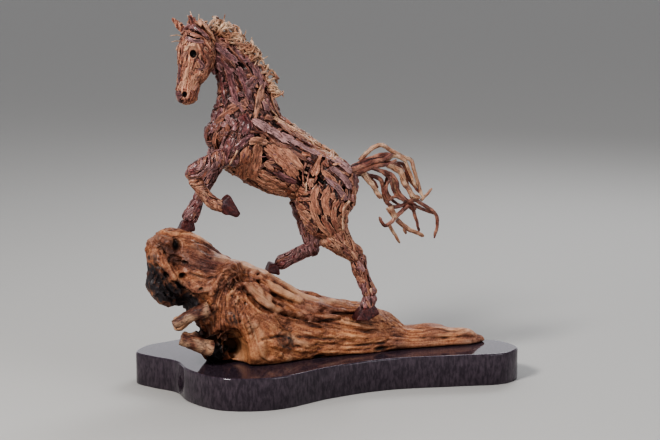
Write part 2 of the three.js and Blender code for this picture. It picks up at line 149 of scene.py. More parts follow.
def smooth_path(points: Array, count: int) -> Array:
    """Run a Catmull-Rom curve through points and divide it evenly.

    Args:
        points: Rows of x, y, z to pass through.
        count: How many points to return.

    Returns:
        Points at even distances along the curve.
    """
    points = np.asarray(points, dtype=float)
    ends = np.vstack((2 * points[0] - points[1], points, 2 * points[-1] - points[-2]))
    fine = []
    for a, b, c, d in zip(ends, ends[1:], ends[2:], ends[3:]):
        for t in np.linspace(0, 1, 8, endpoint=False):
            bend = (2 * a - 5 * b + 4 * c - d) * t**2 + (3 * b - a - 3 * c + d) * t**3
            fine.append(b + 0.5 * ((c - a) * t + bend))
    fine = np.array(fine + [points[-1]])
    reach = np.concatenate(([0], np.cumsum(np.linalg.norm(np.diff(fine, axis=0), axis=1))))
    stops = np.linspace(0, reach[-1], count)
    return np.stack([np.interp(stops, reach, fine[:, k]) for k in range(3)], axis=1)


def distance_to(places: Array, route: Array) -> Array:
    """How far each place is from a route.

    Args:
        places: Rows of x, y, z.
        route: The route's points, at least two.

    Returns:
        One distance for each place.
    """
    least = np.full(len(places), 1e9)
    for a, b in zip(route, route[1:]):
        step = b - a
        share = np.clip((places - a) @ step / max(step @ step, FINE), 0, 1)
        least = np.minimum(least, np.linalg.norm(places - a - share[:, None] * step, axis=1))
    return least


def length_of(route: Array) -> float:
    """A route's length."""
    return np.linalg.norm(np.diff(route, axis=0), axis=1).sum()


def add_object(name: str, data: bpy.types.ID) -> bpy.types.Object:
    """Make an object and put it in the scene.

    Args:
        name: Its name.
        data: Its mesh, curve, lamp or camera.

    Returns:
        The object.
    """
    made = bpy.data.objects.new(name, data)
    bpy.context.scene.collection.objects.link(made)
    return made


@dataclass(frozen=True)
class PhotoView:
    """The camera at the photograph's viewing angle, with its rays through the 660 by 440 frame."""

    target_m: tuple[float, float, float] = (0.004, -0.003, 0.2955)
    elevation: float = math.radians(10)
    distance_m: float = 3.0
    pixel_mm: float = 1.75  # what a pixel covers at the target
    frame_px: tuple[int, int] = (660, 440)
    sensor_mm: float = 36.0

    @property
    def back(self) -> Array:
        """From the target to the camera."""
        return np.array((0.0, -math.cos(self.elevation), math.sin(self.elevation)))

    @property
    def place(self) -> Array:
        """Where the camera stands, in metres."""
        return np.array(self.target_m) + self.back * self.distance_m

    def ray(self, pixel: Pixel) -> tuple[Array, Array]:
        """The sight line through a pixel.

        Args:
            pixel: Column and row in the photograph's frame.

        Returns:
            Its start and direction on the bench.
        """
        up = np.array((0.0, math.sin(self.elevation), math.cos(self.elevation)))
        sight = -self.back * self.distance_m / MM / self.pixel_mm
        sight = sight + up * (self.frame_px[1] / 2 - pixel[1])
        sight[0] += pixel[0] - self.frame_px[0] / 2
        return to_bench(self.place), turned(unit(sight), -YAW)

    def on_plane(self, pixel: Pixel, y: float) -> Array:
        """Where the sight line through a pixel meets the bench plane at y."""
        start, sight = self.ray(pixel)
        return start + sight * (y - start[1]) / sight[1]

    def route(self, pixels: Iterable[Pixel], near: float, far: float | None = None) -> Array:
        """Place a route that is traced in the photograph.

        Args:
            pixels: The route in the photograph's frame.
            near: The bench plane that it starts on.
            far: The bench plane that it ends on, or none for the same one.

        Returns:
            The route's points on the bench.
        """
        pixels = list(pixels)
        planes = np.linspace(near, near if far is None else far, len(pixels))
        return np.array([self.on_plane(pixel, y) for pixel, y in zip(pixels, planes)])

    def make_camera(self) -> None:
        """Put the camera in the scene."""
        data = bpy.data.cameras.new("camera")
        data.sensor_width = self.sensor_mm
        data.lens = self.sensor_mm * self.distance_m / MM / self.pixel_mm / self.frame_px[0]
        camera = add_object("camera", data)
        camera.location = self.place
        camera.rotation_euler = (math.pi / 2 - self.elevation, 0, 0)
        bpy.context.scene.camera = camera


VIEW = PhotoView()


class Noise:
    """Smooth seeded noise in space, about -1 to 1."""

    def __init__(self, seed: int) -> None:
        """Draw the slopes that the noise runs through.

        Args:
            seed: The seed of the draws.
        """
        rng = np.random.default_rng(seed)
        self.mix = rng.permutation(256)
        self.slopes = unit(rng.normal(size=(256, 3)))

    def at(self, places: Array, cell: float) -> Array:
        """The noise at some places.

        Args:
            places: Rows of x, y, z.
            cell: The size of its lumps.

        Returns:
            One value for each place.
        """
        spots = places / cell
        base = np.floor(spots).astype(int)
        rest = spots - base
        ease = rest**3 * (rest * (rest * 6 - 15) + 10)
        total = np.zeros(len(places))
        for corner in product((0, 1), repeat=3):
            x, y, z = (base + corner).T & 255
            slope = self.slopes[self.mix[(self.mix[(self.mix[x] + y) & 255] + z) & 255]]
            share = np.where(corner, ease, 1 - ease).prod(axis=1)
            total += share * (slope * (rest - corner)).sum(axis=1)
        return total * 1.6


class GrainField:
    """Which way the fibres run, seen from the side, worked out from a few lines along them."""

    step = 4.0  # all sizes in millimetres
    reach = 60.0  # squared, how near to a line its pull stops rising
    low = np.array((-340.0, 40.0))
    high = np.array((320.0, 680.0))

    def __init__(self, lines: Sequence[Sequence[Pixel]], y: float) -> None:
        """Work out the field on a grid.

        Args:
            lines: Lines along the fibres, in pixels.
            y: The bench plane that they lie on.
        """
        xs, zs = (np.arange(a, b, self.step) for a, b in zip(self.low, self.high))
        spots = np.stack(np.meshgrid(xs, zs, indexing="ij"), axis=-1)
        self.shape = spots.shape[:2]
        total = np.zeros(self.shape + (2,))
        for line in lines:
            route = VIEW.route(line, y)[:, [0, 2]]
            for a, b in zip(route, route[1:]):
                along = b - a
                share = np.clip((spots - a) @ along / (along @ along), 0, 1)
                away = np.linalg.norm(spots - a - share[..., None] * along, axis=-1)
                angle = 2 * math.atan2(along[1], along[0])
                pull = np.linalg.norm(along) / (away**2 + self.reach) ** 1.5
                total += pull[..., None] * (math.cos(angle), math.sin(angle))
        self.doubled = unit(total)

    def direction(self, places: Array) -> Array:
        """The fibres' direction at some places.

        Args:
            places: Rows of x, y, z.

        Returns:
            Rows of x and z, of length one.
        """
        spots = (places[:, [0, 2]] - self.low) / self.step
        spots = np.clip(spots, 0, np.array(self.shape) - 1.001)
        base = spots.astype(int)
        rest = spots - base
        total = np.zeros((len(places), 2))
        for i, j in product((0, 1), repeat=2):
            share = np.where((i, j), rest, 1 - rest).prod(axis=1)
            total += share[:, None] * self.doubled[base[:, 0] + i, base[:, 1] + j]
        angle = np.arctan2(total[:, 1], total[:, 0]) / 2
        return np.stack((np.cos(angle), np.sin(angle)), axis=1)


def read_points(mesh: bpy.types.Mesh) -> Array:
    """Read a mesh's points.

    Args:
        mesh: The mesh.

    Returns:
        Rows of x, y, z.
    """
    flat = np.empty(len(mesh.vertices) * 3)
    mesh.vertices.foreach_get("co", flat)
    return flat.reshape(-1, 3)


def search_tree(mesh: bpy.types.Mesh) -> BVHTree:
    """A mesh's faces, ready to be searched."""
    faces = [tuple(face.vertices) for face in mesh.polygons]
    return BVHTree.FromPolygons([v.co.copy() for v in mesh.vertices], faces)


def write_mark(mesh: bpy.types.Mesh, name: str, values: Array) -> None:
    """Store one value for each point of a mesh."""
    attribute = mesh.attributes.new(name, "FLOAT", "POINT")
    attribute.data.foreach_set("value", values.astype(np.float32))


class Surface:
    """A smooth surface that flakes are laid on, in bench millimetres."""

    def __init__(self, mesh: bpy.types.Mesh, grain: GrainField) -> None:
        """Take a mesh as the surface.

        Args:
            mesh: The mesh, in bench millimetres.
            grain: The run of its fibres.
        """
        self.points = read_points(mesh)
        self.tree = search_tree(mesh)
        self.grain = grain

    def nearest(self, place: Array) -> tuple[Array, Array]:
        """The surface's nearest point to a place, and its normal there."""
        foot, normal, _, _ = self.tree.find_nearest(Vector(place))
        return np.array(foot), np.array(normal)

    def seen_at(self, pixel: Pixel, y: float = NEAR_SIDE) -> Array:
        """The point that the photograph shows at a pixel.

        Args:
            pixel: The pixel.
            y: The bench plane to look near when the surface isn't seen there.

        Returns:
            The point on the surface.
        """
        start, sight = VIEW.ray(pixel)
        foot = self.tree.ray_cast(Vector(start), Vector(sight))[0]
        return np.array(foot) if foot else self.nearest(VIEW.on_plane(pixel, y))[0]

    def traced(self, pixels: Sequence[Pixel], spacing_px: float = 3.0) -> Array:
        """A route on the surface under a line traced in the photograph.

        Args:
            pixels: The line.
            spacing_px: How far apart the route's points are.

        Returns:
            The route's points.
        """
        flat = np.array([(x, y, 0.0) for x, y in pixels])
        fine = smooth_path(flat, max(3, round(length_of(flat) / spacing_px)))
        return np.array([self.seen_at((x, y)) for x, y, _ in fine])

    def over(self, pixels: Sequence[Pixel], height: float) -> Array:
        """A traced route that runs at some height over the surface."""
        return np.array([p + self.nearest(p)[1] * height for p in self.traced(pixels)])

    def along_grain(self, start: Array, length: float, stops: int = 4) -> Array:
        """A route that follows the fibres through a point.

        Args:
            start: The route's middle.
            length: Its length.
            stops: Steps on each side of the middle.

        Returns:
            The route's points.
        """
        halves = []
        for sign in (-1, 1):
            spot, heading, half = start, None, []
            for _ in range(stops):
                foot, normal = self.nearest(spot)
                x, z = self.grain.direction(foot[None])[0]
                run = np.array((x, 0.0, z)) * sign
                run = unit(run - normal * (run @ normal) + 1e-6)
                if heading is not None and run @ heading < 0:
                    run = -run
                heading = run
                spot = self.nearest(foot + run * length / 2 / stops)[0]
                half.append(spot)
            halves.append(half)
        return np.array(halves[0][::-1] + [start] + halves[1])


def node_mesh(nodes: Sequence[str], swell: float = 0.0) -> bpy.types.Mesh:
    """Copy some nodes of the frame into one mesh on the bench.

    Args:
        nodes: The nodes' names.
        swell: How far the faces are moved outwards, in millimetres.

    Returns:
        A new mesh, in bench millimetres.
    """
    shell = bmesh.new()
    for node in nodes:
        shell.from_mesh(frame["nodes"][node].data)
    bmesh.ops.remove_doubles(shell, verts=shell.verts, dist=1e-5)
    shell.normal_update()
    for vertex in shell.verts:
        vertex.co += vertex.normal * swell * MM
    mesh = bpy.data.meshes.new("copy")
    shell.to_mesh(mesh)
    shell.free()
    mesh.vertices.foreach_set("co", to_bench(read_points(mesh)).ravel())
    mesh.update()
    return mesh


def grown(nodes: Sequence[str], cell: float, smooth: int, swell: float) -> bpy.types.Mesh:
    """Grow one smooth closed skin over some nodes.

    Args:
        nodes: The nodes' names.
        cell: The size of the skin's first faces, in millimetres.
        smooth: Rounds of smoothing.
        swell: How far the nodes are swollen first, which closes the glue lines.

    Returns:
        A new mesh, in bench millimetres.
    """
    body = add_object("body", node_mesh(nodes, swell))
    remesh = body.modifiers.new("remesh", "REMESH")
    remesh.mode = "VOXEL"
    remesh.voxel_size = cell
    soften = body.modifiers.new("smooth", "SMOOTH")
    soften.iterations = smooth
    part = body.modifiers.new("part", "SUBSURF")
    part.levels = part.render_levels = 1
    skin = bpy.data.meshes.new_from_object(body.evaluated_get(bpy.context.evaluated_depsgraph_get()))
    bpy.data.objects.remove(body)
    return skin


class Skin:
    """A closed wooden surface that is worked as arrays, in bench millimetres."""

    edge = 2.2  # how sharply the painted shade in a groove ends
    painted_shade_reach = 1.7  # how far the painted shade spreads round a groove, in half widths of a groove

    def __init__(self, mesh: bpy.types.Mesh, grain: GrainField) -> None:
        """Take a mesh as the skin.

        Args:
            mesh: The mesh, in bench millimetres.
            grain: The run of its fibres.
        """
        self.mesh = mesh
        self.grain = grain
        self.co = read_points(mesh)
        self.marks = {name: np.zeros(len(self.co)) for name in MARKS}
        # painted shade that spreads round the grooves, as a darker tone
        self.painted_shade_halo = np.zeros(len(self.co))
        self.refresh()

    def refresh(self) -> None:
        """Write the points back and work out the normals again."""
        self.mesh.vertices.foreach_set("co", self.co.ravel())
        self.mesh.update()
        flat = np.empty(self.co.size)
        self.mesh.vertex_normals.foreach_get("vector", flat)
        self.normals = flat.reshape(-1, 3)

    def push(self, heights: Array) -> None:
        """Move the points along their normals by some heights."""
        self.co = self.co + self.normals * heights[:, None]
        self.refresh()

    def comb(self, seed: int, cell: float, reach: float) -> Array:
        """Noise drawn out along the fibres.

        Args:
            seed: The noise's seed.
            cell: How wide its strands are.
            reach: How long they are.

        Returns:
            One value for each point, with a spread of one.
        """
        noise = Noise(seed)
        step = cell * 0.9
        total = noise.at(self.co, cell)
        for sign in (1, -1):
            spot = self.co.copy()
            heading = self.grain.direction(spot) * sign
            for _ in range(round(reach / step / 2)):
                spot[:, [0, 2]] += heading * step
                turn = self.grain.direction(spot)
                heading = turn * np.sign((turn * heading).sum(axis=1) + 1e-9)[:, None]
                total += noise.at(spot, cell)
        return total / total.std()

    def mark(self, name: str, values: Array) -> None:
        """Raise a mark to some values, up to one."""
        self.marks[name] = np.clip(np.maximum(self.marks[name], values), 0, 1)

    def groove(self, route: Array, width: float, depth: float, dark: float = 0.8) -> None:
        """Sink a groove along a route, with painted shade in it and a softer painted shade spread round
        it.

        Args:
            route: The route's points.
            width: The groove's half width.
            depth: Its depth. A negative one raises a ridge.
            dark: How dark the painted shade inside it is. It also sets the painted shade round it.
        """
        away = distance_to(self.co, route) / width
        shape = np.exp(-(away**2))
        self.co = self.co - self.normals * (shape * depth)[:, None]
        if dark > 0:
            self.mark("low", shape**self.edge * dark)
            self.painted_shade_halo = np.maximum(self.painted_shade_halo, np.exp(-((away / self.painted_shade_reach) ** 2)) * min(dark, 1))

    def knot(self, middle: Array, radius: float, height: float, dark: float = 0.55) -> None:
        """Raise a ringed knot.

        Args:
            middle: Its middle.
            radius: Its radius.
            height: How far it stands out.
            dark: How scorched its middle looks.
        """
        away = np.linalg.norm(self.co - middle, axis=1) / radius
        dome = np.exp(-(away**2)) * height
        rings = 0.35 * np.cos(away * 9) * np.exp(-(away**2) * 0.8)
        self.co = self.co + self.normals * (dome + rings)[:, None]
        self.mark("char_and_shade", dark * np.exp(-((away * 1.3) ** 4)))
        # a ring of painted shade round the knot's foot
        self.mark("low", 0.6 * np.exp(-(((away - 1) / 0.16) ** 2)))

    def finish_marks(self) -> None:
        """Write the marks to the mesh as attributes."""
        for name, values in self.marks.items():
            write_mark(self.mesh, name, values)


def add_piece(
    name: str,
    mesh: bpy.types.Mesh,
    finish: bpy.types.Material,
    nodes: Sequence[str] = (),
) -> None:
    """Put a piece on the root body.

    Args:
        name: The piece's name.
        mesh: Its mesh, in object metres.
        finish: Its material.
        nodes: The frame's nodes that it stands for.
    """
    mesh.name = name
    mesh.materials.clear()
    mesh.materials.append(finish)
    piece = add_object(name, mesh)
    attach(piece, "root")
    if nodes:
        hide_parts(*nodes)
    mesh.calc_loop_triangles()
    LOG.info("%s: %d triangles", name, len(mesh.loop_triangles))


def skin_piece(name: str, skin: Skin, finishes: Finishes, slot: Slot, nodes: Sequence[str]) -> None:
    """Turn a worked skin into a piece.

    Args:
        name: The piece's name.
        skin: The skin.
        finishes: The object's materials.
        slot: The record's slot that it takes its finish from.
        nodes: The frame's nodes that it stands for.
    """
    skin.finish_marks()
    mesh = skin.mesh
    mesh.vertices.foreach_set("co", to_world(skin.co).ravel())
    mesh.shade_smooth()
    mesh.update()
    add_piece(name, mesh, finishes.of(slot, Grain.COMBED), nodes)


# Finishes


def linear(code: str) -> tuple[float, float, float, float]:
    """Turn an sRGB colour to linear light.

    Args:
        code: The colour in hex, with its hash.

    Returns:
        Red, green, blue and an alpha of one.
    """
    parts = [int(code[i : i + 2], 16) / 255 for i in (1, 3, 5)]
    r, g, b = (p / 12.92 if p <= 0.04045 else ((p + 0.055) / 1.055) ** 2.4 for p in parts)
    return r, g, b, 1.0


MATH = "ShaderNodeMath"
MIX = "ShaderNodeMix"
NOISE = "ShaderNodeTexNoise"
VECTOR_MATH = "ShaderNodeVectorMath"
SCALED = {"operation": "MULTIPLY_ADD"}
CAPPED = {"operation": "MULTIPLY_ADD", "use_clamp": True}


def add_node(
    tree: bpy.types.NodeTree, kind: str, inputs: dict | Sequence = (), **settings: object
) -> bpy.types.NodeOutputs:
    """Add a node to a tree.

    Args:
        tree: The node tree.
        kind: The node's type.
        inputs: Its inputs, by name or number or in order: each a socket to link from, or a value.
        settings: The node's own settings.

    Returns:
        The node's outputs.
    """
    node = tree.nodes.new(kind)
    for name, value in settings.items():
        setattr(node, name, value)
    for key, value in inputs.items() if isinstance(inputs, dict) else enumerate(inputs):
        if isinstance(value, Socket):
            tree.links.new(value, node.inputs[key])
        else:
            node.inputs[key].default_value = value
    return node.outputs


@dataclass(frozen=True)
class WoodFinish:
    """Weathered wood: fibres of two tones, painted shade in its cracks, hollows and gaps, and a paler
    colour that is partly sun bleaching and partly a painted highlight on its high edges.
    """

    name: str
    slot: Slot
    first: tuple[str, str, str]  # dark, middle and light fibres of the main tone
    second: tuple[str, str, str]  # the same of the other tone
    # the colour of painted shade, laid where the low mark is: cracks, hollows, gaps and flake walls
    painted_shade_colour: str
    # the paler colour: sun bleaching, and painted highlights on high edges and crests
    bleached_and_highlight: str
    char_and_shade_colour: str = "#2b2226"
    roughness: float = 0.62
    coat: float = 0.16
    coat_roughness: float = 0.24
    fibre_mm: float = 1.5  # coarser than real fibres, so that they show
    draw: float = 0.24  # how much longer than wide a strand is drawn, as a share
    stops: tuple[float, float, float] = (0.3, 0.5, 0.72)  # where the dark, middle and light fibres lie
    relief_mm: float = 1.1
    patch_mm: float = 13.0
    spot_mm: float = 5.0
    stain: float = 0.65

    def strands(
        self, tree: bpy.types.NodeTree, grain: Grain, place: Socket, marks: dict[str, Socket]
    ) -> tuple[Socket, Socket]:
        """Draw the fibres, and the painted shade in the fine cracks between them.

        Args:
            tree: The material's tree.
            grain: How the finish finds the run of the fibres.
            place: Where each point is.
            marks: What each point is marked with.

        Returns:
            How light the fibre is there, and how much painted shade it takes: the low mark, and in the
            straight grain fine split lines too.
        """
        if grain is Grain.COMBED:
            pores = {"Vector": place, "Scale": 0.6 / self.fibre_mm / MM, "Detail": 4.0, "Roughness": 0.65}
            fine = add_node(tree, NOISE, pores)["Fac"]
            streak = add_node(tree, MATH, (fine, 0.7, marks["fibre"]), **SCALED)[0]
            streak = add_node(tree, MATH, (streak, 0.35), operation="SUBTRACT")[0]
            return streak, marks["low"]
        run = add_node(tree, "ShaderNodeAttribute", attribute_name="grain")["Vector"]
        drawn = {"Vector": run, "Scale": (self.draw, 1.0, 1.0)}
        drawn = add_node(tree, "ShaderNodeMapping", drawn)[0]
        fibres = {"Vector": drawn, "Scale": 0.42 / self.fibre_mm / MM, "Detail": 6.0}
        fibres |= {"Roughness": 0.72, "Distortion": 0.6}
        streak = add_node(tree, NOISE, fibres)["Fac"]
        # fine split lines along the grain, painted dark as the shade in small cracks
        splits = {"Vector": drawn, "Scale": 0.3 / self.fibre_mm / MM, "Detail": 3.0}
        split = add_node(tree, NOISE, splits)["Fac"]
        split = add_node(tree, MATH, (split, 0.47), operation="SUBTRACT")[0]
        split = add_node(tree, MATH, (split,), operation="ABSOLUTE")[0]
        split = add_node(tree, MATH, (split, -34.0, 0.9), **CAPPED)[0]
        return streak, add_node(tree, MATH, (split, marks["low"]), operation="MAXIMUM")[0]

    def material(self, grain: Grain) -> bpy.types.Material:
        """Build the finish.

        Args:
            grain: How it finds the run of the fibres.

        Returns:
            The material.
        """
        made = bpy.data.materials.new(f"{self.name}_{grain.value}")
        made.use_nodes = True
        tree = made.node_tree
        shader = tree.nodes["Principled BSDF"]
        place = add_node(tree, "ShaderNodeTexCoord")["Object"]
        marks = {
            name: add_node(tree, "ShaderNodeAttribute", attribute_name=name)["Fac"]
            for name in MARKS
        }
        streak, low = self.strands(tree, grain, place, marks)
        ramps = []
        for tones in (self.first, self.second):
            ramp = add_node(tree, "ShaderNodeValToRGB", {"Fac": streak})[0]
            stops = ramp.node.color_ramp.elements
            stops.new(0.5)
            for stop, at, tone in zip(stops, self.stops, tones):
                stop.position = at
                stop.color = linear(tone)
            ramps.append(ramp)
        patches = {"Vector": place, "Scale": 1 / self.patch_mm / MM, "Detail": 3.0, "Roughness": 0.6}
        patch = add_node(tree, NOISE, patches)["Fac"]
        patch = add_node(tree, MATH, (patch, 1.3, marks["tone"]), **SCALED)[0]
        patch = add_node(tree, MATH, (patch, 0.65), operation="SUBTRACT", use_clamp=True)[0]
        colour = {0: patch, 6: ramps[0], 7: ramps[1]}
        colour = add_node(tree, MIX, colour, data_type="RGBA")[2]
        spots = {"Vector": place, "Scale": 1 / self.spot_mm / MM, "Detail": 4.0, "Roughness": 0.7}
        spot = add_node(tree, NOISE, spots)["Fac"]
        stain = add_node(tree, MATH, (spot, 2.4, -1.15), **CAPPED)[0]
        stain = add_node(tree, MATH, (stain, self.stain), operation="MULTIPLY")[0]
        # scorching, and the painted shade that the char_and_shade mark holds under the root and inside
        # its arch
        char_and_shade_share = add_node(tree, MATH, (spot, 0.9, marks["char_and_shade"]), **SCALED)[0]
        char_and_shade_share = add_node(tree, MATH, (char_and_shade_share, 2.2, -1.75), **CAPPED)[0]
        # paler colour (bleaching with painted highlights), stains, scorching with painted shade, then
        # painted shade in cracks and hollows
        layers = (
            (marks["pale"], self.bleached_and_highlight),
            (stain, self.second[0]),
            (char_and_shade_share, self.char_and_shade_colour),
            (low, self.painted_shade_colour),
        )
        for share, tone in layers:
            layer = {0: share, 6: colour, 7: linear(tone)}
            colour = add_node(tree, MIX, layer, data_type="RGBA")[2]
        tree.links.new(colour, shader.inputs["Base Color"])
        rough = add_node(tree, MATH, (streak, -0.25, self.roughness + 0.12), **CAPPED)[0]
        tree.links.new(rough, shader.inputs["Roughness"])
        height = add_node(tree, MATH, (spot, 0.8, streak), **SCALED)[0]
        height = add_node(tree, MATH, (low, -0.5, height), **SCALED)[0]
        relief = {"Height": height, "Strength": 0.9, "Distance": self.relief_mm * MM}
        bump = add_node(tree, "ShaderNodeBump", relief)[0]
        tree.links.new(bump, shader.inputs["Normal"])
        shader.inputs["Coat Weight"].default_value = self.coat
        shader.inputs["Coat Roughness"].default_value = self.coat_roughness
        return made


# Old teak root, washed out by rain and wiped with oil: brown with darker streaks, and a dry satin.
TEAK_ROOT = WoodFinish(
    "weathered_teak_root",
    Slot.ROOT,
    ("#63331f", "#a76b4a", "#d19a72"),
    ("#361914", "#673b30", "#97695a"),
    "#170b08",
    "#e4bd9c",
    relief_mm=0.8,
    patch_mm=26.0,
    stain=0.22,
)
# Sun-dried teak chips from the sapwood: a red tan, with long brown fibres.
TEAK_CHIP = WoodFinish(
    "sapwood_teak_chip",
    Slot.TAN,
    ("#55271d", "#b5725a", "#e2ab8c"),
    ("#3b1a17", "#8b5244", "#c9957e"),
    "#110605",
    "#eec1a2",
    coat=0.2,
)
# Barkless rootlets, bleached by the sun to straw.
BLEACHED_ROOTLET = WoodFinish(
    "bleached_rootlet",
    Slot.PALE,
    ("#74452f", "#c4906f", "#ecc5a4"),
    ("#54302a", "#a37361", "#d6a990"),
    "#22120d",
    "#f2d6b8",
    roughness=0.54,
    relief_mm=0.6,
    stain=0.3,
)
# Heart of the root, stained by the ground: brown, with a rosy cast.
STAINED_HEARTWOOD = WoodFinish(
    "stained_heartwood",
    Slot.UMBER,
    ("#351410", "#824434", "#c58469"),
    ("#2c1317", "#754641", "#bd8d86"),
    "#0d0505",
    "#dca48a",
    roughness=0.54,
    coat=0.28,
)
# Rosewood splinters: burgundy to mauve, with an oiled gloss.
ROSEWOOD_SPLINTER = WoodFinish(
    "rosewood_splinter",
    Slot.PLUM,
    ("#20080b", "#5f2424", "#ad605a"),
    ("#281217", "#774447", "#cda0a2"),
    "#0b0404",
    "#dcb0aa",
    roughness=0.48,
    coat=0.36,
)
# Rosewood, cut clean and polished by hand: dark maroon with a sheen.
POLISHED_ROSEWOOD = WoodFinish(
    "polished_rosewood",
    Slot.HOOF,
    ("#1d090c", "#54211f", "#8a473c"),
    ("#140a10", "#3a2129", "#6a4c55"),
    "#080405",
    "#94584c",
    roughness=0.46,
    coat=0.16,
    stain=0.3,
)
WOODS = (
    TEAK_ROOT,
    TEAK_CHIP,
    BLEACHED_ROOTLET,
    STAINED_HEARTWOOD,
    ROSEWOOD_SPLINTER,
    POLISHED_ROSEWOOD,
)


@dataclass(frozen=True)
class StoneFinish:
    """Black granite, polished: a mirror on top, with a faint purple-grey mottle inside."""

    name: str = "polished_black_granite"
    dark: str = "#382e38"
    light: str = "#655761"
    mottle_mm: float = 5.0

    def material(self) -> bpy.types.Material:
        """Build the finish.

        Returns:
            The material.
        """
        made = bpy.data.materials.new(self.name)
        made.use_nodes = True
        tree = made.node_tree
        shader = tree.nodes["Principled BSDF"]
        place = add_node(tree, "ShaderNodeTexCoord")["Object"]
        drawn = add_node(tree, "ShaderNodeMapping", {"Vector": place, "Scale": (1.0, 1.0, 0.35)})[0]
        clouds = {"Vector": drawn, "Scale": 1 / self.mottle_mm / MM, "Detail": 6.0}
        clouds |= {"Roughness": 0.62}
        cloud = add_node(tree, NOISE, clouds)["Fac"]
        share = add_node(tree, MATH, (cloud, 2.4, -0.95), **CAPPED)[0]
        colour = {0: share, 6: linear(self.dark), 7: linear(self.light)}
        colour = add_node(tree, MIX, colour, data_type="RGBA")[2]
        tree.links.new(colour, shader.inputs["Base Color"])
        rough = add_node(tree, MATH, (cloud, 0.1, 0.03), **SCALED)[0]
        tree.links.new(rough, shader.inputs["Roughness"])
        shader.inputs["IOR"].default_value = 1.54
        return made


class Finishes:
    """Every material of the object, each built once."""

    def __init__(self) -> None:
        """Build them."""
        self.made = {(w.slot, g): w.material(g) for w, g in product(WOODS, Grain)}
        self.stone = StoneFinish().material()

    def of(self, slot: Slot, grain: Grain) -> bpy.types.Material:
        """The material of a slot."""
        return self.made[slot, grain]


# Flakes


@dataclass(frozen=True)
class Flake:
    """One flake of wood along a route, in bench millimetres."""

    route: Array
    width: float
    slot: Slot
    seed: int
    thick: float = 2.4
    lift: float = 0.8
    tone: float = 0.5
    point: float = 0.0  # 0 for square ends, 1 for one that tapers to its end
    pale: float = 0.0
    dark: float = 0.0
    domed: bool = False  # a round knob, and not a flat chip


